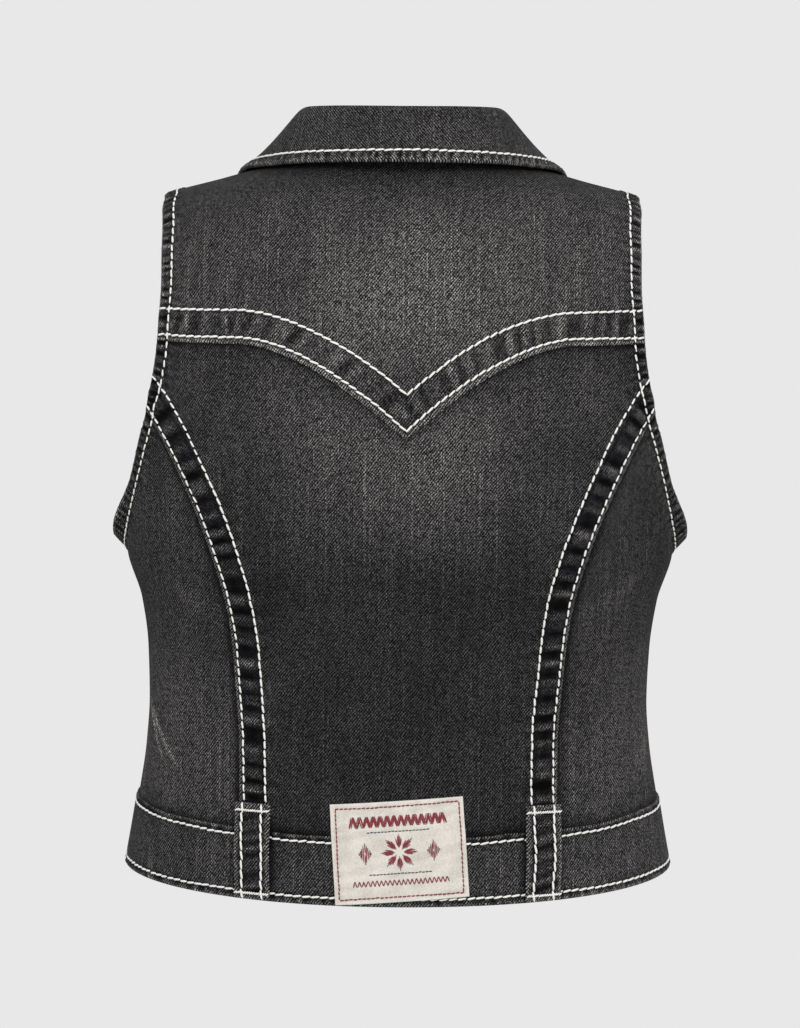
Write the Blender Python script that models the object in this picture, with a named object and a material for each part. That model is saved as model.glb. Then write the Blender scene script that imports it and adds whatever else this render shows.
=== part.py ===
"""Sleeveless denim vest, filled out as when worn, with nobody inside it.

Every piece that a maker would cut is its own closed solid: a pointed back yoke, a back panel between two
curved side-back panels, two fronts with a button band, a folded collar, a waistband in three lengths, belt
loops, a sewn patch and the buttons. The cloth is a thin wall on a general figure. Sizes are in millimetres
and are turned to metres as each mesh is made. +X is the wearer's left, -Y the front, +Z up, and the origin
lies between the shoulder-neck points.
"""

import math

import bmesh
import bpy
import numpy as np

MM = 0.001

# Cloth and sewing
CLOTH = 1.5  # plain cloth, from its outer face inwards
SEAM_GAP = 0.3  # between two pieces that meet at a seam
LAY_GAP = 0.5  # between a piece and the panel that it lies on
LAP_WIDTH = 14.5  # lapped seam, from its folded edge past its second row of stitches
LAP_RISE = 1.0  # height of a lapped seam above plain cloth
HEM_WIDTH = 9.0  # turned hem round an armhole
HEM_RISE = 0.8
STEP = 1.5  # run of the slope from a raised band down to plain cloth

# General figure, a section in each row, with the outer face of the cloth on it
FORM_COLUMNS = ("height", "half_width", "back", "front", "squareness")
FORM_ROWS = (
    (10.0, 36.0, 50.0, 16.0, 2.00),
    (-2.0, 70.0, 55.0, 26.0, 2.00),
    (-10.0, 99.0, 60.5, 34.0, 2.00),
    (-19.0, 131.0, 67.0, 44.0, 2.05),
    (-30.0, 146.0, 74.0, 54.0, 2.10),
    (-50.0, 153.0, 83.0, 68.0, 2.20),
    (-80.0, 156.5, 92.0, 86.0, 2.30),
    (-120.0, 158.0, 99.0, 103.0, 2.35),
    (-160.0, 157.5, 102.0, 114.0, 2.35),
    (-200.0, 156.0, 101.0, 117.0, 2.30),
    (-220.0, 154.7, 99.5, 114.0, 2.30),
    (-247.0, 146.8, 96.0, 107.0, 2.25),
    (-275.0, 143.2, 92.5, 101.0, 2.20),
    (-305.0, 142.3, 90.0, 97.0, 2.20),
    (-330.0, 144.0, 91.5, 97.0, 2.20),
    (-360.0, 148.5, 96.0, 100.0, 2.15),
    (-405.0, 156.6, 104.0, 107.0, 2.10),
)

# Armhole edge seen from the side, from the shoulder down to the underarm
TIP_HEIGHT = -19.0
UNDERARM_HEIGHT = -211.5
ARMHOLE_COLUMNS = ("height", "back", "front")
ARMHOLE_ROWS = (
    (TIP_HEIGHT, 0.0, 0.0),
    (-23.0, 21.5, 14.5),
    (-36.0, 38.5, 30.0),
    (-50.0, 46.5, 38.7),
    (-77.0, 55.7, 52.0),
    (-110.0, 59.5, 60.0),
    (-134.0, 56.5, 59.0),
    (-161.0, 47.0, 52.0),
    (-176.0, 38.5, 44.5),
    (-190.0, 29.5, 35.0),
    (-200.0, 21.5, 26.0),
    (-206.5, 14.0, 17.0),
    (-210.0, 7.2, 8.8),
    (UNDERARM_HEIGHT, 0.0, 0.0),
)
LIP = 7.2  # how far the hem stands out under the arm
LIP_REACH = 10.5  # width of the cloth that flares with it
LIP_START = -172.0  # height on the armhole where the flare begins
LIP_FULL = -205.0
HEM_ROWS = (14.0, HEM_WIDTH + STEP, HEM_WIDTH, 4.0, 0.0)  # rows of points, by distance from the edge

# Neckline
NECK_HALF = 66.0
NECK_SIDE_HEIGHT = -0.6
NECK_BACK_RISE = 6.6
NECK_FRONT_DROP = 62.4
NECK_FRONT_CURVE = 1.8

# Pointed yoke seam, level at the sides and dipping to a point at the back
YOKE_LEVEL = -98.4
YOKE_DROP = 50.0
YOKE_REACH = 90.0
YOKE_CURVE = 1.7
YOKE_POINT_X = -2.9  # the point sits this far to the wearer's right

# Curved seam between back and side-back, from the armhole down to the waistband
PRINCESS_COLUMNS = ("height", "half_width")
PRINCESS_ROWS = (
    (-100.0, 168.0),
    (-134.0, 141.0),
    (-150.0, 130.6),
    (-172.0, 119.3),
    (-194.0, 109.4),
    (-216.0, 101.3),
    (-238.0, 94.9),
    (-260.0, 91.1),
    (-283.0, 89.1),
    (-316.0, 87.0),
    (-370.0, 86.6),
)
PRINCESS_TOP = -136.5
SEAM_ROWS = 16  # points along it on both panels

# Waistband
WAIST_TOP = -361.0
WAIST_TOP_DIP = 5.5  # how much lower its top edge runs at the middle of the back
HEM_HEIGHT = -400.9
HEM_DIP = 2.4
DIP_HALF_WIDTH = 150.0
WAIST_RISE = 1.3  # outer face above plain cloth
WAIST_WALL = 3.0

# Collar, folded in one piece, half of it from the middle of the back to the front end
COLLAR_WALL = 2.2
COLLAR_ROLL = 20.0  # pull of the curve over the fold
FALL_ROLL = 0.4  # share of that pull on the way down
FALL_FLARE = np.array([1.35, 1.35, 0.8])  # pull at the edge, outwards more than down
COLLAR_COLUMNS = ("neck", "fold_x", "fold_y", "fold_z", "edge_x", "edge_y", "edge_z")
COLLAR_ROWS = (
    (0.00, 0.0, 49.0, 28.4, 0.0, 67.5, -0.6),
    (0.20, 32.5, 40.5, 28.6, 48.0, 52.0, -1.2),
    (0.33, 51.0, 24.0, 28.4, 75.0, 27.5, -3.2),
    (0.42, 56.8, 4.0, 26.0, 89.0, 0.0, -5.0),
    (0.50, 57.5, -16.0, 18.0, 95.0, -27.0, -14.0),
    (0.64, 55.0, -46.0, -8.0, 94.0, -60.0, -47.0),
    (0.78, 42.0, -70.0, -36.0, 83.0, -85.0, -80.0),
    (0.95, 12.0, -82.0, -53.5, 63.0, -103.0, -110.0),
)
STAND_STEPS = np.array([0, 0.35, 0.65, 0.82, 0.93])  # shares of the way from neck seam to fold
FALL_STEPS = np.array([0, 0.08, 0.18, 0.32, 0.52, 0.76, 1.0])  # and from fold to edge
COLLAR_CLEAR = 1.9  # middle of the collar's wall above the panels
COLLAR_CLEAR_ON_BAND = 4.4

# Front band and buttons
FRONT_EDGE_X = -14.0  # where the fronts meet, under the band
BAND_HALF = 18.0
BAND_WALL = 1.8
BUTTON_HEIGHTS = (-84.0, -143.0, -202.0, -261.0, -320.0, -381.0)
BUTTON_RADIUS = 8.5
BUTTON_PROFILE = ((4.0, 0.0), (4.0, 1.2), (7.6, 1.2), (8.5, 2.0), (8.3, 3.2), (6.4, 3.5), (5.6, 3.0))
BUTTON_SIDES = 14

# Belt loops and patch
LOOP_X = 78.6
LOOP_HALF = 9.6
LOOP_BOTTOM = -402.2
LOOP_TOP = -352.6
LOOP_WALL = 2.2
LOOP_BOW = 1.6  # how far its middle stands off the waistband
PATCH_CENTRE = (-0.9, -373.4)
PATCH_SIZE = (72.5, 53.8)
PATCH_TILT = math.radians(4.0)
PATCH_WALL = 1.0
WAIST_RAMP = 11.0  # height over which a piece comes down off the waistband

BACK, FRONT = 1, -1

# Colour, roughness and metallic value of each finish
FINISHES = {
    "charcoal_denim": ((0.050, 0.050, 0.053, 1.0), 0.88, 0.0),
    "seam_denim": ((0.034, 0.034, 0.036, 1.0), 0.88, 0.0),
    "cream_twill": ((0.62, 0.58, 0.50, 1.0), 0.85, 0.0),
    "gunmetal": ((0.20, 0.20, 0.21, 1.0), 0.38, 1.0),
}


def table(columns, rows):
    """A short table as a dictionary of arrays, its rows in rising order of the first column."""
    ordered = np.array(sorted(map(tuple, rows)), float)
    return {name: ordered[:, place] for place, name in enumerate(columns)}


FORM = table(FORM_COLUMNS, FORM_ROWS)
ARMHOLE = table(ARMHOLE_COLUMNS, ARMHOLE_ROWS)
PRINCESS = table(PRINCESS_COLUMNS, PRINCESS_ROWS)
COLLAR_MIRROR = np.array([-1, -1, 1, 1, -1, 1, 1])
COLLAR = table(COLLAR_COLUMNS, list(COLLAR_ROWS) + list(np.array(COLLAR_ROWS[1:]) * COLLAR_MIRROR))


def through(places, values, at):
    """Cubic curve through table rows that never overshoots them, read at the given places."""
    at = np.clip(np.asarray(at, float), places[0], places[-1])
    runs = np.diff(places)
    slopes = np.diff(values) / runs
    tangents = np.concatenate([slopes[:1], np.zeros(len(slopes) - 1), slopes[-1:]])
    for i in range(1, len(slopes)):
        if slopes[i - 1] * slopes[i] > 0:
            before, after = 2 * runs[i] + runs[i - 1], runs[i] + 2 * runs[i - 1]
            tangents[i] = (before + after) / (before / slopes[i - 1] + after / slopes[i])
    i = np.clip(np.searchsorted(places, at, side="right") - 1, 0, len(runs) - 1)
    t = (at - places[i]) / runs[i]
    return (
        values[i] * (1 + 2 * t) * (1 - t) ** 2
        + values[i + 1] * t**2 * (3 - 2 * t)
        + runs[i] * (tangents[i] * t * (1 - t) ** 2 + tangents[i + 1] * t**2 * (t - 1))
    )


def ease(value):
    """0 below 0, 1 above 1 and a smooth rise between."""
    value = np.clip(value, 0, 1)
    return value * value * (3 - 2 * value)


def form_at(z):
    """Half width, back depth, front depth and squareness of the figure at each height."""
    return [through(FORM["height"], FORM[name], z) for name in FORM_COLUMNS[1:]]


def on_figure(x, z, side):
    """Points of the cloth's outer face at a width and a height, on the back or the front."""
    x, z = np.broadcast_arrays(np.asarray(x, float), np.asarray(z, float))
    half, back, front, square = form_at(z)
    depth = back if side == BACK else front
    share = np.clip(np.abs(x) / half, 0, 1)
    return np.stack([x, side * depth * (1 - share**square) ** (1 / square), z], axis=-1)


def width_at(y, z, side):
    """Distance from the middle plane at which the figure is this deep."""
    half, back, front, square = form_at(z)
    depth = back if side == BACK else front
    share = np.clip(np.abs(y) / depth, 0, 1)
    return half * (1 - share**square) ** (1 / square)


def figure_ring(turn, z):
    """Points round the figure, by the turn from the middle of the back towards the wearer's left."""
    half, back, front, square = form_at(z)
    depth = np.where(np.cos(turn) >= 0, back, front)
    reach = (np.abs(np.sin(turn)) ** square + np.abs(np.cos(turn)) ** square) ** (-1 / square)
    return np.stack([half * reach * np.sin(turn), depth * reach * np.cos(turn), z], axis=-1)


def fullness(points):
    """Below 1 inside the figure, 1 on the cloth's outer face and more outside it."""
    half, back, front, square = form_at(points[..., 2])
    depth = np.where(points[..., 1] >= 0, back, front)
    return (np.abs(points[..., 0]) / half) ** square + (np.abs(points[..., 1]) / depth) ** square


def outward(points):
    """Unit normals of the figure at points on or near it, and how steeply its fullness grows."""
    step = 0.05
    steps = step * np.eye(3)
    growth = [fullness(points + move) - fullness(points - move) for move in steps]
    slope = np.stack(growth, axis=-1) / (2 * step)
    steepness = np.linalg.norm(slope, axis=-1)
    return slope / steepness[..., None], steepness


def lifted(points, distance):
    """Points moved out from the figure."""
    return points + outward(points)[0] * np.asarray(distance, float)[..., None]


def armhole_x(z, side):
    """Distance of the armhole's edge from the middle plane."""
    name = "back" if side == BACK else "front"
    return width_at(through(ARMHOLE["height"], ARMHOLE[name], z), z, side)


def armhole_edge(side):
    """Points along the armhole of the wearer's left, on the back or the front."""
    turn = np.linspace(0, math.pi, 90)
    z = (TIP_HEIGHT + UNDERARM_HEIGHT) / 2 + (TIP_HEIGHT - UNDERARM_HEIGHT) / 2 * np.cos(turn)
    return on_figure(armhole_x(z, side), z, side)


def armhole_rise(points, side):
    """Height of the turned hem above plain cloth, and the flare of the cloth under the arm."""
    edge = armhole_edge(side)
    own_side = np.stack([np.abs(points[..., 0]), points[..., 1], points[..., 2]], axis=-1)
    apart = np.linalg.norm(own_side[..., None, :] - edge, axis=-1)
    nearest = apart.argmin(axis=-1)
    distance = apart.min(axis=-1)
    hem = HEM_RISE * ease((HEM_WIDTH + STEP - distance) / STEP)
    strength = ease((LIP_START - edge[nearest, 2]) / (LIP_START - LIP_FULL))
    return hem, LIP * strength * np.clip(1 - distance / LIP_REACH, 0, 1) ** 1.5


def ridge_height(x):
    """Height of the shoulder seam at a distance from the middle plane."""
    z = np.linspace(TIP_HEIGHT, NECK_SIDE_HEIGHT + 1, 200)
    return np.interp(-np.abs(x), -form_at(z)[0], z)


def neck_height(x, side):
    """Height of the neckline at a distance from the middle plane."""
    share = np.clip(np.abs(x) / NECK_HALF, 0, 1)
    if side == BACK:
        return NECK_SIDE_HEIGHT + NECK_BACK_RISE * (1 - share**2)
    return NECK_SIDE_HEIGHT - NECK_FRONT_DROP * (1 - share**NECK_FRONT_CURVE)


def top_height(x, side):
    """Height of the neckline and, beyond it, of the shoulder seam."""
    return np.where(np.abs(x) < NECK_HALF, neck_height(x, side), ridge_height(x))


def yoke_height(x):
    """Height of the yoke's folded lower edge."""
    return YOKE_LEVEL - YOKE_DROP * np.clip(1 - np.abs(x - YOKE_POINT_X) / YOKE_REACH, 0, 1) ** YOKE_CURVE


def yoke_slope(x):
    """Steepness of the yoke's lower edge."""
    away = np.clip(1 - np.abs(x - YOKE_POINT_X) / YOKE_REACH, 0, 1)
    return YOKE_DROP * YOKE_CURVE / YOKE_REACH * away ** (YOKE_CURVE - 1)


def middle_shift(share, z):
    """How far a column leans so that the middle one runs into the yoke's point."""
    return YOKE_POINT_X * (1 - np.abs(share)) * np.clip(z / YOKE_LEVEL, 0, 1)


def princess_x(z):
    """Distance of the curved seam's folded edge from the middle plane."""
    return through(PRINCESS["height"], PRINCESS["half_width"], z)


def dip(x, side, depth):
    """How much lower an edge of the waistband runs towards the middle of the back."""
    return depth * (1 - np.clip(np.abs(x) / DIP_HALF_WIDTH, 0, 1) ** 2) if side == BACK else 0 * x


def waist_top(x, side):
    """Height of the waistband's top edge."""
    return WAIST_TOP - dip(x, side, WAIST_TOP_DIP)


def hem_height(x, side):
    """Height of the vest's lower edge."""
    return HEM_HEIGHT - dip(x, side, HEM_DIP)


def lying_height(points, side):
    """Height above plain cloth of a piece that lies on a panel and over the waistband."""
    above = points[..., 2] - waist_top(points[..., 0], side)
    return LAY_GAP + WAIST_RISE * (1 - ease((above - 1) / WAIST_RAMP))


def finish(name):
    """The material of that name, made once."""
    material = bpy.data.materials.get(name)
    if material is None:
        colour, roughness, metallic = FINISHES[name]
        material = bpy.data.materials.new(name)
        material.use_nodes = True
        shader = material.node_tree.nodes["Principled BSDF"]
        shader.inputs["Base Color"].default_value = colour
        shader.inputs["Roughness"].default_value = roughness
        shader.inputs["Metallic"].default_value = metallic
    return material


def add_object(name, shape, finish_name):
    """An object from a closed bmesh, its faces pointing out and its rounds shaded smooth."""
    bmesh.ops.recalc_face_normals(shape, faces=shape.faces[:])
    if shape.calc_volume(signed=True) < 0:
        bmesh.ops.reverse_faces(shape, faces=shape.faces[:])
    mesh = bpy.data.meshes.new(name)
    shape.to_mesh(mesh)
    shape.free()
    mesh.shade_smooth()
    mesh.set_sharp_from_angle(angle=math.radians(40))
    mesh.materials.append(finish(finish_name))
    made = bpy.data.objects.new(name, mesh)
    bpy.context.scene.collection.objects.link(made)
    return made


def add_wall(name, outer, inner, finish_name):
    """A closed wall of cloth between two grids of points, rows by columns."""
    rows, columns = outer.shape[:2]
    shape = bmesh.new()
    bmesh.ops.create_grid(shape, x_segments=columns - 1, y_segments=rows - 1, size=1)
    place = shape.verts.layers.int.new("place")
    shape.verts.ensure_lookup_table()
    for index, point in enumerate(outer.reshape(-1, 3)):
        shape.verts[index][place] = index
        shape.verts[index].co = point * MM
    made = bmesh.ops.extrude_face_region(shape, geom=shape.faces[:], use_keep_orig=True)
    inner = inner.reshape(-1, 3)
    for vertex in made["geom"]:
        if isinstance(vertex, bmesh.types.BMVert):
            vertex.co = inner[vertex[place]] * MM
    return add_object(name, shape, finish_name)


def add_panel(name, points, rise, flare, side, finish_name="charcoal_denim", wall=CLOTH):
    """A wall on the figure: its outer face raised above plain cloth, both faces moved by the flare."""
    half_gap = SEAM_GAP / 2
    points = points.copy()
    points[..., 1] = side * np.maximum(side * points[..., 1], half_gap)
    return add_wall(name, lifted(points, rise + flare), lifted(points, flare - wall), finish_name)


def front_columns(middle, tip_x):
    """Shares of a front's width, closer together towards the neck corner and the armhole."""
    neck_x = NECK_HALF * np.sin(np.linspace(math.asin(middle / NECK_HALF), math.pi / 2, 11))
    shares = (neck_x - middle) / (tip_x - middle)
    return np.concatenate([shares, np.sin(np.linspace(math.asin(shares[-1]), math.pi / 2, 9)[1:])])


def both_sides(shares, insets):
    """Columns across a panel: the plain ones by share, then those at set distances from each edge."""
    half = [(share, insets[-1]) for share in shares] + [(1.0, inset) for inset in insets[-2::-1]]
    return np.array([(-share, inset) for share, inset in half[:0:-1]] + half)


def add_yoke():
    """Back yoke, from the pointed seam up to the shoulder seams and the neckline."""
    tip_x = float(armhole_x(TIP_HEIGHT, BACK))
    hem = HEM_WIDTH + STEP
    corner = NECK_HALF / (tip_x - hem)
    neck_shares = corner * np.sin(np.linspace(0, math.pi / 2, 9))
    shares = np.concatenate([neck_shares, np.linspace(corner, 1, 5)[1:]])
    columns = both_sides(shares, (0.0, HEM_WIDTH, hem))
    share, inset = columns[:, 0], columns[:, 1]

    def across(z):
        reach = np.where(z < TIP_HEIGHT, armhole_x(z, BACK), tip_x)
        return share * (reach - inset) + middle_shift(share, z)

    low_x = across(np.full(len(share), YOKE_LEVEL))
    low, high = yoke_height(low_x), top_height(across(np.zeros(len(share))), BACK)
    band = np.sqrt(1 + yoke_slope(low_x) ** 2)
    heights = [low, low + LAP_WIDTH * band, low + (LAP_WIDTH + STEP) * band]
    for part in np.linspace(0, 1, 8)[1:]:
        heights.append(heights[2] + (high - heights[2]) * (1 - (1 - part) ** 2))
    heights = np.array(heights)
    points = on_figure(np.array([across(z) for z in heights]), heights, BACK)
    points[-1, np.abs(points[-1, :, 0]) >= NECK_HALF - SEAM_GAP, 1] = 0
    hem_rise, flare = armhole_rise(points, BACK)
    lap_rise = np.zeros_like(hem_rise)
    lap_rise[:2] = LAP_RISE
    return add_panel("back_yoke", points, np.maximum(hem_rise, lap_rise), flare, BACK)


def add_back_panel():
    """Back panel, under the yoke, its sides lapped over the side-back panels."""
    columns = both_sides(np.linspace(0, 1, 9), (0.0, LAP_WIDTH, LAP_WIDTH + STEP))
    share, inset = columns[:, 0], columns[:, 1]

    def across(z):
        reach = np.minimum(armhole_x(z, BACK), princess_x(z) - SEAM_GAP / 2)
        return share * (reach - inset) + middle_shift(share, z)

    low_x, high_x = across(np.full(len(share), WAIST_TOP)), across(np.full(len(share), YOKE_LEVEL))
    low = waist_top(low_x, BACK) + SEAM_GAP
    high = yoke_height(high_x) - 1.35 * SEAM_GAP
    corner = (PRINCESS_TOP - low[-1]) / (high[-1] - low[-1])
    parts = np.concatenate([np.linspace(0, corner, SEAM_ROWS), np.linspace(corner, 1, 4)[1:]])
    heights = low + (high - low) * parts[:, None]
    points = on_figure(np.array([across(z) for z in heights]), heights, BACK)
    hem_rise, flare = armhole_rise(points, BACK)
    seam = (heights < PRINCESS_TOP + LAP_WIDTH) & (inset <= LAP_WIDTH)
    return add_panel("back_panel", points, np.maximum(hem_rise, LAP_RISE * seam), flare, BACK)


def add_side_back(name, hand):
    """Side-back panel, from the curved seam round to the side seam, under the armhole."""

    def angle(x, y, z):
        half, back = form_at(z)[:2]
        return np.arctan2(x / half, y / back)

    def seam_angle(z):
        edge = on_figure(princess_x(z) + SEAM_GAP / 2, z, BACK)
        return angle(edge[..., 0], edge[..., 1], z)

    edge = armhole_edge(BACK)
    edge = edge[edge[:, 2] < PRINCESS_TOP]
    edge_angle = angle(edge[:, 0], edge[:, 1], edge[:, 2])
    edge_share = (edge_angle - seam_angle(edge[:, 2])) / (math.pi / 2 - seam_angle(edge[:, 2]))
    share = np.sin(np.linspace(0, math.pi / 2, 11)) ** 0.8
    high = np.interp(share, edge_share, edge[:, 2])
    low_turn = seam_angle(WAIST_TOP) + share * (math.pi / 2 - seam_angle(WAIST_TOP))
    low = waist_top(figure_ring(low_turn, np.full(len(share), WAIST_TOP))[..., 0], BACK) + SEAM_GAP
    even = np.linspace(0, 1, SEAM_ROWS)[:, None]
    hem_rows = 1 - np.array(HEM_ROWS)[:, None] / (high - low)
    plain_rows = hem_rows[0] * np.linspace(0, 1, SEAM_ROWS - len(HEM_ROWS) + 1)[:-1, None]
    to_hem = np.concatenate([plain_rows, hem_rows])
    heights = low + (high - low) * (even + (to_hem - even) * ease(3 * share))
    turn = seam_angle(heights) + share * (math.pi / 2 - seam_angle(heights))
    points = figure_ring(turn, heights)
    hem_rise, flare = armhole_rise(points, BACK)
    points[..., 0] *= hand
    return add_panel(name, points, hem_rise, flare, BACK)


def add_front(name, hand):
    """Plain front, from the middle round to the side seam and up to the shoulder."""
    middle = hand * FRONT_EDGE_X + SEAM_GAP / 2
    tip_x = float(armhole_x(TIP_HEIGHT, FRONT))
    share = front_columns(middle, tip_x)

    def across(z):
        outer = np.where(z < UNDERARM_HEIGHT, form_at(z)[0], armhole_x(z, FRONT))
        outer = np.where(z > TIP_HEIGHT, tip_x, outer)
        return middle + share * (outer - middle)

    low = np.full(len(share), WAIST_TOP + SEAM_GAP)
    high = top_height(across(np.zeros(len(share))), FRONT)
    corner = (UNDERARM_HEIGHT - low[-1]) / (high[-1] - low[-1])
    rising = corner + (1 - corner) * (1 - (1 - np.linspace(0, 1, 14)[1:]) ** 1.6)
    hem = corner - np.array(HEM_ROWS) / (high[-1] - low[-1])
    parts = np.concatenate([np.linspace(0, hem[0], 8)[:-1], hem, rising])
    heights = low + (high - low) * parts[:, None]
    points = on_figure(np.array([across(z) for z in heights]), heights, FRONT)
    points[-1, points[-1, :, 0] >= NECK_HALF - SEAM_GAP, 1] = 0
    hem_rise, flare = armhole_rise(points, FRONT)
    points[..., 0] *= hand
    return add_panel(name, points, hem_rise, flare, FRONT)


def add_waistband(name, edges, side, columns):
    """A length of waistband between two distances from the middle plane, on the back or the front."""
    half, back, front, _ = form_at(HEM_HEIGHT)
    ends = on_figure(np.array(edges), HEM_HEIGHT, side)
    turns = np.arctan2(ends[:, 0] / half, ends[:, 1] / (back if side == BACK else front))
    if side == FRONT:
        turns = turns % math.tau
    turn = np.linspace(turns[0], turns[1], columns)
    rows = []
    for part in np.linspace(0, 1, 4):
        x = figure_ring(turn, np.full(columns, HEM_HEIGHT + part * (WAIST_TOP - HEM_HEIGHT)))[..., 0]
        low = hem_height(x, side)
        rows.append(figure_ring(turn, low + part * (waist_top(x, side) - low)))
    points = np.array(rows)
    rise = np.full(points.shape[:2], WAIST_RISE)
    return add_panel(name, points, rise, 0 * rise, side, wall=WAIST_WALL - WAIST_RISE)


def add_front_band():
    """Button band down the middle of the front, lying on both fronts and on the waistband."""
    x = np.linspace(-BAND_HALF, BAND_HALF, 6)
    low, high = hem_height(x, FRONT), neck_height(x, FRONT) - 1.0
    parts = np.linspace(0, 1, 27)[:, None]
    heights = low + (high - low) * parts
    points = on_figure(x, heights, FRONT)
    lie = lying_height(points, FRONT)
    return add_wall("front_band", lifted(points, lie + BAND_WALL), lifted(points, lie), "charcoal_denim")


def add_belt_loop(name, hand):
    """Belt loop over the waistband, bowed out between its two sewn ends."""
    x = hand * LOOP_X + np.linspace(-LOOP_HALF, LOOP_HALF, 4)
    parts = np.linspace(0, 1, 10)[:, None]
    heights = LOOP_BOTTOM + (LOOP_TOP - LOOP_BOTTOM) * parts + 0 * x
    points = on_figure(x, heights, BACK)
    lie = WAIST_RISE + LAY_GAP + LOOP_BOW * np.sin(math.pi * parts) ** 2 + 0 * x
    return add_wall(name, lifted(points, lie + LOOP_WALL), lifted(points, lie), "seam_denim")


def add_patch():
    """Plain sewn patch over the waistband at the middle of the back, a little askew."""
    along = np.linspace(-0.5, 0.5, 10) * PATCH_SIZE[0]
    up = np.linspace(-0.5, 0.5, 9)[:, None] * PATCH_SIZE[1]
    x = PATCH_CENTRE[0] + along * math.cos(PATCH_TILT) + up * math.sin(PATCH_TILT)
    z = PATCH_CENTRE[1] - along * math.sin(PATCH_TILT) + up * math.cos(PATCH_TILT)
    points = on_figure(x, z, BACK)
    lie = lying_height(points, BACK)
    return add_wall("patch", lifted(points, lie + PATCH_WALL), lifted(points, lie), "cream_twill")


def neck_seam(count):
    """Points along half the neckline, from the middle of the back to the middle of the front."""
    turn = np.linspace(0, math.pi / 2, 60)
    back_x = NECK_HALF * np.sin(turn)
    front_x = NECK_HALF * np.cos(turn)
    back = on_figure(back_x, neck_height(back_x, BACK), BACK)
    front = on_figure(front_x, neck_height(front_x, FRONT), FRONT)
    seam = np.concatenate([back, front[1:]])
    along = np.concatenate([[0], np.cumsum(np.linalg.norm(np.diff(seam, axis=0), axis=1))])
    parts = np.linspace(0, COLLAR["neck"][-1], count)
    columns = [np.interp(parts, along / along[-1], seam[:, axis]) for axis in range(3)]
    return parts, np.stack(columns, axis=-1)


def unit(vectors):
    """Vectors brought to a length of 1."""
    return vectors / np.linalg.norm(vectors, axis=-1, keepdims=True)


def hermite(start, start_pull, end, end_pull, parts):
    """Points of a cubic between two points with a pull at each."""
    t = parts[:, None, None]
    return (
        start * (1 + 2 * t) * (1 - t) ** 2
        + end * t**2 * (3 - 2 * t)
        + start_pull * t * (1 - t) ** 2
        + end_pull * t**2 * (t - 1)
    )


def collar_middle():
    """Middle of the collar's wall: a row for each step from the neck seam over the fold to its edge."""
    parts, seam = neck_seam(24)
    fold = np.stack([through(COLLAR["neck"], COLLAR[f"fold_{axis}"], parts) for axis in "xyz"], axis=-1)
    edge = np.stack([through(COLLAR["neck"], COLLAR[f"edge_{axis}"], parts) for axis in "xyz"], axis=-1)
    normal = outward(seam)[0]
    into_neck = unit(np.cross(np.gradient(seam, axis=0), normal))
    into_neck[into_neck[:, 2] < 0] *= -1
    level = np.linalg.norm(into_neck[:, :2], axis=-1, keepdims=True)
    base = seam - normal * CLOTH / 2 + into_neck * (LAY_GAP + SEAM_GAP + level * COLLAR_WALL / 2)
    out = unit((edge - base) * np.array([1.0, 1.0, 0.0]))
    rise = np.linalg.norm(fold - base, axis=-1, keepdims=True)
    fall = edge - fold
    stand = hermite(base, rise * np.array([0, 0, 0.8]), fold, out * COLLAR_ROLL, STAND_STEPS)
    turned = hermite(fold, out * COLLAR_ROLL * FALL_ROLL, edge, fall * FALL_FLARE, FALL_STEPS)
    for row in turned[3:]:
        on_band = ease((40 - np.abs(row[:, 0])) / 15) * (row[:, 1] < 0)
        clear = COLLAR_CLEAR + (COLLAR_CLEAR_ON_BAND - COLLAR_CLEAR) * on_band
        for _ in range(6):
            away, steepness = outward(row)
            row += away * np.maximum(clear - (fullness(row) - 1) / steepness, 0)[:, None]
    half = np.concatenate([stand, turned])
    mirrored = half[:, :0:-1] * np.array([-1.0, 1.0, 1.0])
    return np.concatenate([mirrored, half], axis=1)


def add_collar():
    """Collar in one piece, standing round the neck, folded over and lying on the shoulders."""
    middle = collar_middle()
    across = np.gradient(middle, axis=0)
    along = np.gradient(middle, axis=1)
    normal = unit(np.cross(along, across))
    half = normal * COLLAR_WALL / 2
    return add_wall("collar", middle + half, middle - half, "charcoal_denim")


def add_button(name, height):
    """Shank button, turned from its profile, with its foot just clear of the front band."""
    shape = bmesh.new()
    outline = [(0.0, 0.0), *BUTTON_PROFILE, (0.0, BUTTON_PROFILE[-1][1])]
    profile = [shape.verts.new((radius * MM, 0, rise * MM)) for radius, rise in outline]
    edges = [shape.edges.new(pair) for pair in zip(profile, profile[1:])]
    turned = {"cent": (0, 0, 0), "axis": (0, 0, 1), "angle": math.tau, "steps": BUTTON_SIDES}
    bmesh.ops.spin(shape, geom=profile + edges, use_merge=True, **turned)
    bmesh.ops.remove_doubles(shape, verts=shape.verts[:], dist=0.01 * MM)
    made = add_object(name, shape, "gunmetal")
    seat = on_figure(0.0, height, FRONT)
    foot = lifted(seat, lying_height(seat, FRONT) + BAND_WALL + SEAM_GAP)
    lean = math.asin(outward(seat)[0][2])
    made.location = foot * MM
    made.rotation_euler = (math.pi / 2 - lean, 0, 0)
    return made


def main():
    """Clears the scene and makes every piece."""
    for old in list(bpy.data.objects):
        bpy.data.objects.remove(old)
    add_yoke()
    add_back_panel()
    for word, hand in (("left", 1), ("right", -1)):
        add_side_back(f"side_back_{word}", hand)
        add_front(f"front_{word}", hand)
        add_belt_loop(f"belt_loop_{word}", hand)
    hem_half = float(form_at(HEM_HEIGHT)[0])
    add_waistband("waistband_back", (-hem_half, hem_half), BACK, 31)
    add_waistband("waistband_front_left", (FRONT_EDGE_X + SEAM_GAP / 2, hem_half), FRONT, 17)
    add_waistband("waistband_front_right", (-hem_half, FRONT_EDGE_X - SEAM_GAP / 2), FRONT, 15)
    add_front_band()
    add_collar()
    add_patch()
    for number, height in enumerate(BUTTON_HEIGHTS, 1):
        add_button(f"button_{number}", height)


main()
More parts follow.
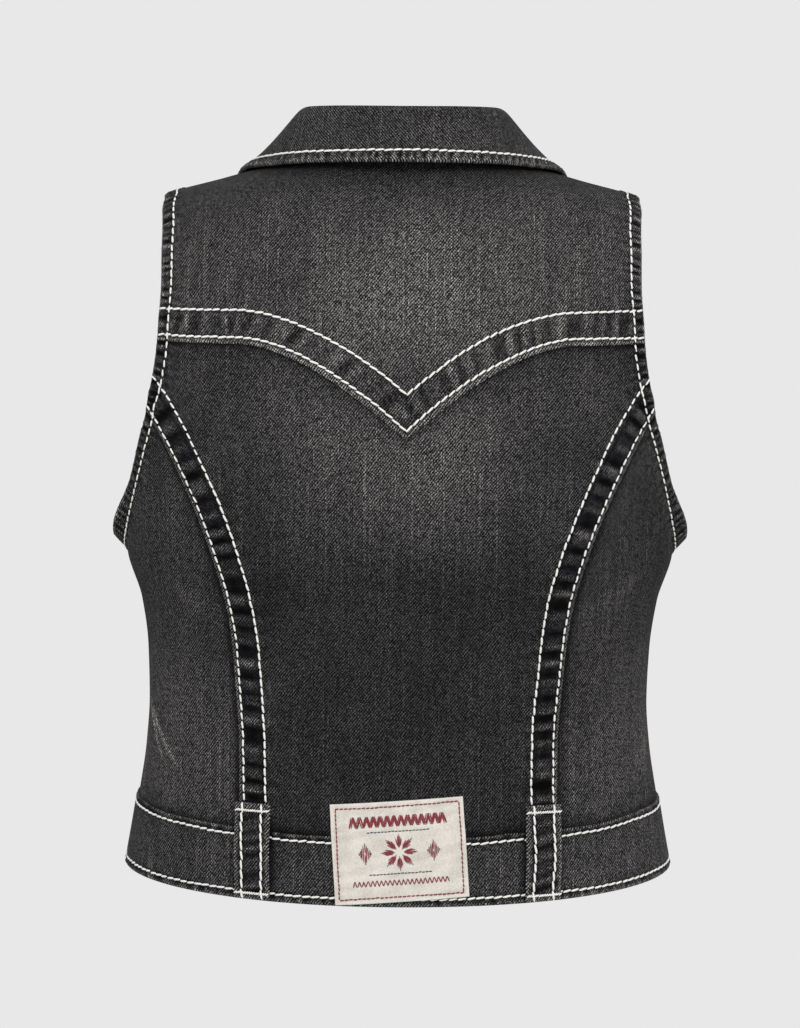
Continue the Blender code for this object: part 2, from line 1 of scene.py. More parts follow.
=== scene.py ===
"""Looks of a sleeveless denim vest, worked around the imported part.

Every cloth piece is cut again as a fine wall on the same figure and along the same lines as the part's
solids, with its folds, lapped seams, puckers and wash. Topstitching, patch, buttons and studio follow.
Sizes are in millimetres unless a name says otherwise. +X is the wearer's left, -Y the front, +Z up.
"""

import logging
import math
from dataclasses import dataclass, field
from enum import Enum
from functools import cached_property, partial

import bmesh
import bpy
import numpy as np
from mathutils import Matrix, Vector


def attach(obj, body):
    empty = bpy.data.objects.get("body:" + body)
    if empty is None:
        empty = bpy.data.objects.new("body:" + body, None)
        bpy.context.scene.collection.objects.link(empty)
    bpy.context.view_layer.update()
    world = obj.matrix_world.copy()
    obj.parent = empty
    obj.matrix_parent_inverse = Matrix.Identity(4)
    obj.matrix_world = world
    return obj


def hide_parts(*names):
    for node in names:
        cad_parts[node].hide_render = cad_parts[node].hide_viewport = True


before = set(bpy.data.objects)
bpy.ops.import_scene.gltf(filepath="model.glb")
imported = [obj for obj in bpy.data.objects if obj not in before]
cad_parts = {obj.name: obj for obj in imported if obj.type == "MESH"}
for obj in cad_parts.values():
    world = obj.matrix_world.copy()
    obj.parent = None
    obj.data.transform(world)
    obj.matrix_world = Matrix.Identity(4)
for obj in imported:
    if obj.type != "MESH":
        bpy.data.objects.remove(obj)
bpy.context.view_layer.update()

Array = np.ndarray
Pair = tuple[Array, Array]
Rows = tuple[tuple[float, ...], ...]
LOG = logging.getLogger("vest")
MM = 0.001
BODY = "root"


class Side(Enum):
    """The two halves of the figure, by the sign of Y."""

    BACK = 1
    FRONT = -1


class Hand(Enum):
    """The wearer's two sides, by the sign of X."""

    LEFT = 1
    RIGHT = -1


# Small helpers


def linear(colour: str) -> tuple[float, float, float, float]:
    """Turns an sRGB hex colour to linear values.

    Args:
        colour: six hex digits after a hash sign.

    Returns:
        Linear red, green and blue with an alpha of 1.
    """
    levels = [int(colour[place : place + 2], 16) / 255 for place in (1, 3, 5)]
    red, green, blue = (v / 12.92 if v <= 0.04045 else ((v + 0.055) / 1.055) ** 2.4 for v in levels)
    return red, green, blue, 1.0


def wire(tree: bpy.types.NodeTree, node: bpy.types.Node, links: dict | None, values: dict | None) -> None:
    """Sets the inputs of a node.

    Args:
        tree: the material's node tree.
        node: the node.
        links: output sockets by the name or number of the input that each one feeds.
        values: constant values by input name or number.
    """
    for name, value in (values or {}).items():
        node.inputs[name].default_value = value
    for name, socket in (links or {}).items():
        tree.links.new(socket, node.inputs[name])


def add_node(
    tree: bpy.types.NodeTree,
    kind: str,
    links: dict | None = None,
    values: dict | None = None,
    stops: tuple[tuple[float, str], ...] = (),
    output: int | str = 0,
    **settings: object,
) -> bpy.types.NodeSocket:
    """Adds a node with its settings, input values and links.

    Args:
        tree: the material's node tree.
        kind: the node's type name, after ShaderNode.
        links: output sockets by the name or number of the input that each one feeds.
        values: constant values by input name or number.
        stops: places and sRGB colours, for a colour ramp.
        output: name or number of the output that is wanted.
        settings: the node's own properties.

    Returns:
        The wanted output.
    """
    made = tree.nodes.new("ShaderNode" + kind)
    for name, value in settings.items():
        setattr(made, name, value)
    wire(tree, made, links, values)
    for place, _ in stops[2:]:
        made.color_ramp.elements.new(place)
    for number, (place, colour) in enumerate(stops):
        made.color_ramp.elements[number].position = place
        made.color_ramp.elements[number].color = linear(colour)
    return made.outputs[output]


def put(name: str, data: bpy.types.ID) -> bpy.types.Object:
    """Puts a mesh, a camera or a light in the scene.

    Args:
        name: name of the object.
        data: what it shows.

    Returns:
        The object, at the origin.
    """
    made = bpy.data.objects.new(name, data)
    bpy.context.scene.collection.objects.link(made)
    return made


def smooth_mesh(
    shape: bmesh.types.BMesh, name: str, material: bpy.types.Material, crisp: float = 180.0
) -> bpy.types.Mesh:
    """Makes a smoothly shaded mesh of a shape.

    Args:
        shape: the shape, which is freed.
        name: name of the mesh.
        material: its finish.
        crisp: angle in degrees above which an edge stays crisp.

    Returns:
        The mesh.
    """
    mesh = bpy.data.meshes.new(name)
    shape.to_mesh(mesh)
    shape.free()
    mesh.shade_smooth()
    if crisp < 180:
        mesh.set_sharp_from_angle(angle=math.radians(crisp))
    mesh.materials.append(material)
    return mesh


def declare(piece: bpy.types.Object, node: str = "") -> None:
    """Args:
        piece: the piece.
        node: the solid that it replaces, if any.
    """
    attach(piece, BODY)
    if node:
        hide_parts(node)


def ease(value: Array) -> Array:
    """0 below 0, 1 above 1 and a smooth rise between."""
    value = np.clip(value, 0, 1)
    return value * value * (3 - 2 * value)


def unit(vectors: Array) -> Array:
    """Vectors brought to a length of 1."""
    return vectors / np.maximum(np.linalg.norm(vectors, axis=-1, keepdims=True), 1e-9)


def along_line(points: Array) -> Array:
    """Distance of each point of a line from the line's start."""
    return np.concatenate([[0], np.cumsum(np.linalg.norm(np.diff(points, axis=0), axis=1))])


def read_line(at: Array, along: Array, points: Array) -> Array:
    """Points of a line at distances from its start, by the distances of its given points."""
    return np.stack([np.interp(at, along, points[:, axis]) for axis in range(3)], axis=-1)


def cubic(start: Array, start_pull: Array, end: Array, end_pull: Array, t: Array) -> Array:
    """Reads cubics between two values or points.

    Args:
        start: what the curves leave.
        start_pull: pull of each curve at its start.
        end: what the curves reach.
        end_pull: pull of each curve at its end.
        t: shares of the way.

    Returns:
        The values or points there.
    """
    return (
        start * (1 + 2 * t) * (1 - t) ** 2
        + end * t**2 * (3 - 2 * t)
        + start_pull * t * (1 - t) ** 2
        + end_pull * t**2 * (t - 1)
    )


def through(places: Array, values: Array, at: Array) -> Array:
    """Reads a cubic curve through table rows that never overshoots them.

    Args:
        places: rising places of the rows.
        values: the value in each row.
        at: where to read the curve.

    Returns:
        The values there.
    """
    at = np.clip(np.asarray(at, float), places[0], places[-1])
    runs = np.diff(places)
    slopes = np.diff(values) / runs
    tangents = np.concatenate([slopes[:1], np.zeros(len(slopes) - 1), slopes[-1:]])
    for i in range(1, len(slopes)):
        if slopes[i - 1] * slopes[i] > 0:
            before, after = 2 * runs[i] + runs[i - 1], runs[i] + 2 * runs[i - 1]
            tangents[i] = (before + after) / (before / slopes[i - 1] + after / slopes[i])
    i = np.clip(np.searchsorted(places, at, side="right") - 1, 0, len(runs) - 1)
    t = (at - places[i]) / runs[i]
    return cubic(values[i], runs[i] * tangents[i], values[i + 1], runs[i] * tangents[i + 1], t)


def edge_steps(width: float, step: float = 1.5) -> Array:
    """Distances from 0 to a width, close together on an edge's round and evenly spaced behind it."""
    return np.concatenate([[0, 0.2, 0.5, 0.9, 1.4], np.arange(2.1, width - step / 2, step), [width]])


def roping(along: Array, pitch: float, seed: float) -> Array:
    """Uneven ridges along a seam, as sewing and washing draw it up.

    Args:
        along: distance along the seam.
        pitch: usual distance from ridge to ridge.
        seed: shifts the pattern from seam to seam.

    Returns:
        Values from about -1 in the hollows to about 1 on the ridges.
    """
    turn = math.tau * along / pitch
    drift = 1.2 * np.sin(turn / 3.7 + seed) + 0.8 * np.sin(turn / 6.1 + 2.3 * seed)
    size = 0.68 + 0.32 * np.sin(turn / 2.9 + 1.7 * seed)
    return size * np.sin(turn + drift + seed) + 0.3 * np.sin(2.3 * turn + 1.9 * drift + 3.1 * seed)


def both_sides(shares: Array, insets: Array) -> Array:
    """Rows of share and inset for a panel's columns, the same on both sides of its middle."""
    half = [(share, insets[-1]) for share in shares] + [(1.0, inset) for inset in insets[-2::-1]]
    return np.array([(-share, inset) for share, inset in half[:0:-1]] + half)


def stacked(*layers: Pair) -> Pair:
    """Height and wear where sewn layers cross: the highest of them, with the wear and painted shade of all.
    """
    return np.maximum.reduce([rise for rise, _ in layers]), sum(wear_and_painted_shade for _, wear_and_painted_shade in layers)


@dataclass
class SeamLine:
    """A line of points that sewing follows, with the distance of other points from it."""

    points: Array
    block: int = 3000  # points that are measured together

    def nearest(self, points: Array) -> Pair:
        """Measures points against the line.

        Args:
            points: any array of points.

        Returns:
            Each point's distance from the line, and the distance along the line to its foot.
        """
        flat = points.reshape(-1, 3)
        start, run = self.points[:-1], np.diff(self.points, axis=0)
        length = np.linalg.norm(run, axis=1)
        along = along_line(self.points)
        distance, foot = np.empty(len(flat)), np.empty(len(flat))
        for first in range(0, len(flat), self.block):
            block = slice(first, first + self.block)
            close = np.argmin((self.points**2).sum(axis=1) - 2 * flat[block] @ self.points.T, axis=1)
            best = np.full(len(close), np.inf)
            best_foot = np.zeros(len(close))
            for segment in (np.maximum(close - 1, 0), np.minimum(close, len(run) - 1)):
                share = ((flat[block] - start[segment]) * run[segment]).sum(axis=1) / length[segment] ** 2
                share = np.clip(share, 0, 1)
                gap = np.linalg.norm(flat[block] - start[segment] - share[:, None] * run[segment], axis=1)
                better = gap < best
                best = np.where(better, gap, best)
                best_foot = np.where(better, along[segment] + share * length[segment], best_foot)
            distance[block], foot[block] = best, best_foot
        return distance.reshape(points.shape[:-1]), foot.reshape(points.shape[:-1])


@dataclass(frozen=True)
class PaintedShade:
    """Painted shade: darker colour in a corner where cloth lies on cloth."""

    depth: float  # change of lightness in the corner
    reach: float  # distance over which it fades

    def at(self, distance: Array) -> Array:
        """Change of lightness at a distance from the corner."""
        return -self.depth * np.exp(-np.clip(distance, 0, None) / self.reach)


@dataclass(frozen=True)
class Band:
    """A sewn band beside an edge, raised by its folded layers and puckered between edge and stitches."""

    width: float  # raised stretch, from the edge
    rise: float  # above plain cloth
    rows: tuple[float, ...]  # distance of each row of stitches from the edge
    pitch: float  # usual distance between puckers
    pucker: float  # height of a pucker
    contrast: float  # lightness of ridges against hollows
    tone: float = 0.0  # lightness of the whole band against the panel
    slant: float = 0.25  # how far a pucker leans along the seam
    seed: float = 0.0
    past: float = 0.45  # share of a pucker that runs on past the last row
    reach: float = 5.0  # how far it runs on
    slope: float = 1.5  # run from the raised band down to plain cloth
    groove: float = 0.3  # how deep the stitches pull in
    groove_width: float = 1.1
    row_shade: float = 0.07  # painted shade in the groove where the stitches pull in
    edge_wear: float = 0.13  # rubbed edge
    edge_reach: float = 0.9  # how far in it is rubbed
    edge_middle: float = 0.7  # where it is rubbed most
    edge_pitch: float = 3.3  # between its most rubbed places

    def shape(self, distance: Array, along: Array) -> Pair:
        """Works out the band's form and wear.

        Args:
            distance: distance of each point from the edge.
            along: place of each point along the edge.

        Returns:
            Height above plain cloth, and change of lightness.
        """
        first = self.rows[0] if len(self.rows) > 1 else 0.0
        last = self.rows[-1]
        top = ease((self.width + self.slope - distance) / self.slope)
        share = np.clip((distance - first) / (last - first), 0, 1)
        between = np.clip(np.sin(math.pi * share), 0, 1) ** 0.6
        past = self.past * np.exp(-np.clip(distance - last, 0, None) / self.reach) * (distance > last)
        wave = roping(along + self.slant * distance, self.pitch, self.seed) * (between + past)
        pull = sum(np.exp(-(((distance - row) / self.groove_width) ** 2)) for row in self.rows)
        rubbed = np.exp(-(((distance - self.edge_middle) / self.edge_reach) ** 2))
        rubbed = rubbed * (0.7 + 0.3 * roping(along, self.edge_pitch, self.seed + 2))
        rise = self.rise * top + self.pucker * wave - self.groove * pull
        wear_and_painted_shade = self.contrast * wave + self.tone * top * between
        # the row_shade term paints shade in the stitch grooves; the edge_wear term is the rubbed edge
        return rise, wear_and_painted_shade - self.row_shade * pull + self.edge_wear * rubbed


# Figure and cut, the same as in the part's source


@dataclass
class Figure:
    """General figure with a rounded section at each height, and the cloth's outer face on it."""

    sections: Rows = (
        # height, half width, back depth, front depth, squareness
        (10.0, 36.0, 50.0, 16.0, 2.00), (-2.0, 70.0, 55.0, 26.0, 2.00), (-10.0, 99.0, 60.5, 34.0, 2.00),
        (-19.0, 131.0, 67.0, 44.0, 2.05), (-30.0, 146.0, 74.0, 54.0, 2.10),
        (-50.0, 153.0, 83.0, 68.0, 2.20), (-80.0, 156.5, 92.0, 86.0, 2.30),
        (-120.0, 158.0, 99.0, 103.0, 2.35), (-160.0, 157.5, 102.0, 114.0, 2.35),
        (-200.0, 156.0, 101.0, 117.0, 2.30), (-220.0, 154.7, 99.5, 114.0, 2.30),
        (-247.0, 146.8, 96.0, 107.0, 2.25), (-275.0, 143.2, 92.5, 101.0, 2.20),
        (-305.0, 142.3, 90.0, 97.0, 2.20), (-330.0, 144.0, 91.5, 97.0, 2.20),
        (-360.0, 148.5, 96.0, 100.0, 2.15), (-405.0, 156.6, 104.0, 107.0, 2.10),
    )
    probe: float = 0.05  # step for slopes

    @cached_property
    def columns(self) -> Array:
        """The section table by columns, in rising order of height."""
        return np.array(sorted(self.sections)).T

    def at(self, z: Array) -> list[Array]:
        """Half width, back depth, front depth and squareness at each height."""
        height, *values = self.columns
        return [through(height, value, z) for value in values]

    def section(self, z: Array, behind: Array) -> tuple[Array, Array, Array]:
        """Half width, depth and squareness at each height, of the back where behind is true."""
        half, back, front, square = self.at(z)
        return half, np.where(behind, back, front), square

    def on(self, x: Array, z: Array, side: Side) -> Array:
        """Points of the outer face at a width and a height.

        Args:
            x: distance from the middle plane, with its sign.
            z: height.
            side: back or front.

        Returns:
            The points.
        """
        x, z = np.broadcast_arrays(np.asarray(x, float), np.asarray(z, float))
        half, depth, square = self.section(z, side is Side.BACK)
        share = np.clip(np.abs(x) / half, 0, 1)
        return np.stack([x, side.value * depth * (1 - share**square) ** (1 / square), z], axis=-1)

    def width(self, y: Array, z: Array, side: Side) -> Array:
        """Distance from the middle plane at which the figure is this deep."""
        half, depth, square = self.section(z, side is Side.BACK)
        return half * (1 - np.clip(np.abs(y) / depth, 0, 1) ** square) ** (1 / square)

    def ring(self, turn: Array, z: Array) -> Array:
        """Points round the figure.

        Args:
            turn: angle from the middle of the back towards the wearer's left.
            z: height of each point.

        Returns:
            The points.
        """
        half, depth, square = self.section(z, np.cos(turn) >= 0)
        reach = (np.abs(np.sin(turn)) ** square + np.abs(np.cos(turn)) ** square) ** (-1 / square)
        return np.stack([half * reach * np.sin(turn), depth * reach * np.cos(turn), z], axis=-1)

    def fullness(self, points: Array) -> Array:
        """Below 1 at points inside the figure, 1 on the cloth's outer face and more outside it."""
        half, depth, square = self.section(points[..., 2], points[..., 1] >= 0)
        return (np.abs(points[..., 0]) / half) ** square + (np.abs(points[..., 1]) / depth) ** square

    def outward(self, points: Array) -> Pair:
        """Finds the way out from the figure.

        Args:
            points: points near it.

        Returns:
            Unit normals there, and how steeply the fullness grows.
        """
        moves = self.probe * np.eye(3)
        growth = [self.fullness(points + move) - self.fullness(points - move) for move in moves]
        slope = np.stack(growth, axis=-1) / (2 * self.probe)
        steepness = np.linalg.norm(slope, axis=-1)
        return slope / steepness[..., None], steepness

    def lifted(self, points: Array, distance: Array) -> Array:
        """Points moved out from the figure."""
        return points + self.outward(points)[0] * np.asarray(distance, float)[..., None]

    def settled(self, points: Array) -> Array:
        """Moves points near the figure on to it.

        Args:
            points: the points.

        Returns:
            Points on the cloth's outer face.
        """
        for _ in range(4):
            away, steepness = self.outward(points)
            points = points - away * ((self.fullness(points) - 1) / steepness)[..., None]
        return points

    def arc(self, x: Array, z: Array, side: Side) -> Array:
        """Measures round the figure at a level height.

        Args:
            x: distance of each point from the middle plane.
            z: its height.
            side: back or front.

        Returns:
            Length from the figure's middle to each point.
        """
        parts = np.linspace(0, 1, 25).reshape(-1, *[1] * np.ndim(x))
        line = self.on(parts * x, z + 0 * parts, side)
        return np.sign(x) * np.linalg.norm(np.diff(line, axis=0), axis=-1).sum(axis=0)


@dataclass
class Cut:
    """Edges and seams of the pattern, drawn on the figure."""

    figure: Figure = field(default_factory=Figure)
    cloth: float = 1.5
    seam_gap: float = 0.3
    waist_tuck: float = 0.8  # panels reach this far into the waistband
    lay_gap: float = 0.5
    tip_height: float = -19.0
    underarm_height: float = -211.5
    armhole_rows: Rows = (
        # height, depth of the back edge, depth of the front edge
        (-19.0, 0.0, 0.0), (-23.0, 21.5, 14.5), (-36.0, 38.5, 30.0), (-50.0, 46.5, 38.7),
        (-77.0, 55.7, 52.0), (-110.0, 59.5, 60.0), (-134.0, 56.5, 59.0), (-161.0, 47.0, 52.0),
        (-176.0, 38.5, 44.5), (-190.0, 29.5, 35.0), (-200.0, 21.5, 26.0), (-206.5, 14.0, 17.0),
        (-210.0, 7.2, 8.8), (-211.5, 0.0, 0.0),
    )
    lip: float = 7.2
    lip_reach: float = 10.5
    lip_start: float = -172.0
    lip_full: float = -205.0
    swell: float = 0.45  # slow unevenness of the cloth
    swell_waves: tuple[float, ...] = (31.0, 47.0, 38.0, 53.0)
    neck_half: float = 66.0
    neck_side_height: float = -0.6
    neck_back: tuple[float, float] = (6.6, 2.0)  # rise to the middle, and how its curve bends
    neck_front: tuple[float, float] = (-62.4, 1.8)
    yoke_level: float = -98.4
    yoke_drop: float = 50.0
    yoke_reach: float = 90.0
    yoke_curve: float = 1.7
    yoke_point_x: float = -2.9
    yoke_line_half: float = 155.0
    princess_rows: tuple[tuple[float, float], ...] = (
        # height, half width
        (-100.0, 168.0), (-134.0, 141.0), (-150.0, 130.6), (-172.0, 119.3), (-194.0, 109.4),
        (-216.0, 101.3), (-238.0, 94.9), (-260.0, 91.1), (-283.0, 89.1), (-316.0, 87.0), (-370.0, 86.6),
    )
    princess_top: float = -136.5
    princess_line_top: float = -122.5
    princess_shift: float = 240.0  # sets the right seam's puckers apart from the left one's
    waist_top_level: float = -361.0
    waist_top_dip: float = 5.5
    waist_wave: float = 0.35
    hem_level: float = -400.9
    hem_dip: float = 2.4
    dip_half_width: float = 150.0
    waist_rise: float = 1.3
    waist_wall: float = 3.0
    waist_ramp: float = 11.0
    front_edge_x: float = -14.0
    loop_middle: float = 78.6
    loop_width: float = 19.2
    fold_share: float = 0.46  # radius of a fold, as a share of the wall
    joint_width: float = 1.2  # side and shoulder seams, where the back meets the fronts
    joint_depth: float = 0.5
    # joint_shade darkens the groove of the side and shoulder seams: painted shade
    joint_shade: float = 0.06
    creases: Rows = (
        # from x y z, to x y z, width and height of the soft ridge, lightness on it
        (141.3, 16.0, -301.5, 131.9, 42.3, -334.5, 1.6, 0.6, 0.17),
        (141.0, 18.5, -302.5, 122.2, 54.3, -338.2, 1.7, 0.5, 0.13),
        (-139.0, 18.0, -318.0, -128.0, 38.0, -345.0, 4.5, 0.7, 0.035),
        (128.0, 50.0, -222.0, 96.0, 72.0, -250.0, 7.0, 0.5, 0.025),
        (-128.0, 50.0, -224.0, -99.0, 72.0, -247.0, 7.0, 0.5, 0.025),
        (120.0, -62.0, -208.0, 84.0, -92.0, -190.0, 6.0, 0.9, 0.04),
        (-118.0, -64.0, -206.0, -86.0, -92.0, -186.0, 6.5, 0.8, 0.035),
        (132.0, -36.0, -300.0, 96.0, -72.0, -318.0, 4.5, 0.9, 0.04),
        (-130.0, -40.0, -296.0, -98.0, -70.0, -322.0, 4.5, 0.8, 0.035),
    )
    yoke_band: Band = Band(
        width=18.3, rise=1.0, rows=(3.0, 17.3), pitch=10.5, pucker=0.55, contrast=0.085, tone=-0.01, seed=0.4
    )
    princess_band: Band = Band(
        width=15.3, rise=1.0, rows=(2.0, 14.0), pitch=12.0, pucker=0.9, contrast=0.12, tone=-0.035,
        slant=0.1, seed=2.1,
    )
    hem_band: Band = Band(
        width=9.0, rise=0.8, rows=(8.0,), pitch=5.0, pucker=0.6, contrast=0.15, tone=-0.02,
        slant=0.0, seed=1.2,
    )
    # painted shade on the panels above the waistband's top edge
    above_waistband: PaintedShade = PaintedShade(0.09, 2.4)

    def left(self, points: Array) -> Array:
        """Points mirrored to the wearer's left."""
        return np.stack([np.abs(points[..., 0]), points[..., 1], points[..., 2]], axis=-1)

    def armhole_x(self, z: Array, side: Side) -> Array:
        """Distance of the armhole's edge from the middle plane."""
        height, back, front = np.array(sorted(self.armhole_rows)).T
        return self.figure.width(through(height, back if side is Side.BACK else front, z), z, side)

    def armhole_edge(self, side: Side, count: int = 260) -> Array:
        """Draws the left armhole from the shoulder down to the underarm.

        Args:
            side: back or front.
            count: how many points.

        Returns:
            The points.
        """
        middle = (self.tip_height + self.underarm_height) / 2
        z = middle + (self.tip_height - middle) * np.cos(np.linspace(0, math.pi, count))
        return self.figure.on(self.armhole_x(z, side), z, side)

    @cached_property
    def armhole_lines(self) -> dict[Side, SeamLine]:
        """The left armhole's edge on the back and on the front."""
        return {side: SeamLine(self.armhole_edge(side)) for side in Side}

    def from_armhole(self, points: Array, side: Side) -> Pair:
        """Distance from the armhole on the same side, and place along it."""
        return self.armhole_lines[side].nearest(self.left(points))

    @cached_property
    def yoke_line(self) -> SeamLine:
        """The yoke's folded lower edge from armhole to armhole."""
        x = np.linspace(-self.yoke_line_half, self.yoke_line_half, 640)
        return SeamLine(self.figure.on(x, self.yoke_height(x), Side.BACK))

    @cached_property
    def princess_line(self) -> SeamLine:
        """The left curved seam's folded edge from the waistband up to the armhole."""
        z = np.linspace(self.waist_top_level - self.waist_top_dip, self.princess_line_top, 420)
        return SeamLine(self.figure.on(self.princess_x(z), z, Side.BACK))

    def ridge_height(self, x: Array) -> Array:
        """Height of the shoulder seam at a distance from the middle plane."""
        z = np.linspace(self.tip_height, self.neck_side_height + 1, 200)
        return np.interp(-np.abs(x), -self.figure.at(z)[0], z)

    def neck_height(self, x: Array, side: Side) -> Array:
        """Height of the neckline at a distance from the middle plane."""
        rise, curve = self.neck_back if side is Side.BACK else self.neck_front
        return self.neck_side_height + rise * (1 - np.clip(np.abs(x) / self.neck_half, 0, 1) ** curve)

    def top_height(self, x: Array, side: Side) -> Array:
        """Height of the neckline and, beyond it, of the shoulder seam."""
        return np.where(np.abs(x) < self.neck_half, self.neck_height(x, side), self.ridge_height(x))

    def yoke_away(self, x: Array) -> Array:
        """1 at the yoke's point, falling to 0 where its edge runs level."""
        return np.clip(1 - np.abs(x - self.yoke_point_x) / self.yoke_reach, 0, 1)

    def yoke_height(self, x: Array) -> Array:
        """Height of the yoke's folded lower edge."""
        return self.yoke_level - self.yoke_drop * self.yoke_away(x) ** self.yoke_curve

    def yoke_stretch(self, x: Array) -> Array:
        """How much longer a distance from the yoke's edge is when it is measured straight up."""
        steepest = self.yoke_drop * self.yoke_curve / self.yoke_reach
        return np.sqrt(1 + (steepest * self.yoke_away(x) ** (self.yoke_curve - 1)) ** 2)

    def middle_shift(self, share: Array, z: Array) -> Array:
        """How far a column leans so that the middle one runs into the yoke's point."""
        return self.yoke_point_x * (1 - np.abs(share)) * np.clip(z / self.yoke_level, 0, 1)

    def princess_x(self, z: Array) -> Array:
        """Distance of the curved seam's folded edge from the middle plane."""
        height, half_width = np.array(sorted(self.princess_rows)).T
        return through(height, half_width, z)

    def dip(self, x: Array, side: Side, depth: float) -> Array:
        """How much lower an edge of the waistband runs towards the middle of the back."""
        share = np.clip(np.abs(x) / self.dip_half_width, 0, 1)
        return depth * (1 - share**2) if side is Side.BACK else 0 * x

    def waist_top(self, x: Array, side: Side) -> Array:
        """Height of the waistband's top edge, a little wavy."""
        wave = np.sin(x / 12.0 + 0.7) + 0.6 * np.sin(x / 5.6)
        return self.waist_top_level - self.dip(x, side, self.waist_top_dip) + self.waist_wave * wave

    def hem_height(self, x: Array, side: Side) -> Array:
        """Height of the vest's lower edge."""
        return self.hem_level - self.dip(x, side, self.hem_dip)

    def above_waist(self, points: Array, side: Side) -> Array:
        """Height of points above the waistband's top edge."""
        return points[..., 2] - self.waist_top(points[..., 0], side)

    def waist_shade(self, points: Array, side: Side) -> Array:
        """Painted shade in the corner above the waistband."""
        return self.above_waistband.at(self.above_waist(points, side))

    def lying_height(self, points: Array, side: Side) -> Array:
        """Height above plain cloth of a piece that lies on a panel and over the waistband."""
        off = ease((self.above_waist(points, side) - 1) / self.waist_ramp)
        return self.lay_gap + self.waist_rise * (1 - off)

    def flare(self, points: Array, side: Side) -> Array:
        """Works out how far both faces of the cloth stand off the figure.

        Args:
            points: points on the figure.
            side: back or front.

        Returns:
            The lip under the arm, the soft creases and a slow unevenness, together.
        """
        distance, along = self.from_armhole(points, side)
        line = self.armhole_lines[side].points
        edge_height = np.interp(along, along_line(line), line[:, 2])
        strength = ease((self.lip_start - edge_height) / (self.lip_start - self.lip_full))
        lip = self.lip * strength * np.clip(1 - distance / self.lip_reach, 0, 1) ** 1.5
        x, z = points[..., 0], points[..., 2]
        across, bend_across, up, bend_up = self.swell_waves
        swell = np.sin(x / across + 1.3 * np.sin(z / bend_across))
        swell = swell * np.sin(z / up + 0.6 + 0.8 * np.sin(x / bend_up))
        return lip + self.swell * swell + self.crease_shape(points)[0]

    @cached_property
    def crease_lines(self) -> list[SeamLine]:
        """The creases' lines on the figure."""
        ends = self.figure.settled(np.array([row[:6] for row in self.creases]).reshape(-1, 2, 3))
        return [SeamLine(self.figure.settled(np.linspace(start, end, 24))) for start, end in ends]

    def crease_shape(self, points: Array) -> Pair:
        """Works out the soft creases.

        Args:
            points: points on the figure.

        Returns:
            Height of the creases, and how much lighter they are rubbed.
        """
        height, light = np.zeros(points.shape[:-1]), np.zeros(points.shape[:-1])
        for line, (*_, width, rise, rubbed) in zip(self.crease_lines, self.creases):
            distance, along = line.nearest(points)
            share = along / along_line(line.points)[-1]
            ridge = np.exp(-((distance / width) ** 2)) * np.clip(np.sin(math.pi * share), 0.02, 1) ** 0.7
            height += rise * ridge
            light += rubbed * ridge
        return height, light

    def hem_shape(self, points: Array, side: Side) -> Pair:
        """Height and wear of the turned armhole hem."""
        return self.hem_band.shape(*self.from_armhole(points, side))

    def yoke_shape(self, points: Array) -> Pair:
        """Height and wear of the lapped yoke seam."""
        return self.yoke_band.shape(*self.yoke_line.nearest(points))

    def princess_shape(self, points: Array) -> Pair:
        """Height and wear of the lapped curved seams, each side with its own puckers."""
        distance, along = self.princess_line.nearest(self.left(points))
        return self.princess_band.shape(distance, along + self.princess_shift * (points[..., 0] < 0))

    def back_rise(self, points: Array) -> Array:
        """Finds the cloth's face anywhere on the back, for stitches that cross from piece to piece.

        Args:
            points: points on the figure.

        Returns:
            Height above plain cloth.
        """
        x, z = points[..., 0], points[..., 2]
        lap = np.where(np.abs(x) < self.princess_x(z), self.princess_shape(points)[0], 0)
        lap = np.where(z > self.yoke_height(x), self.yoke_shape(points)[0], lap)
        return np.maximum(self.hem_shape(points, Side.BACK)[0], lap)


# Cloth pieces


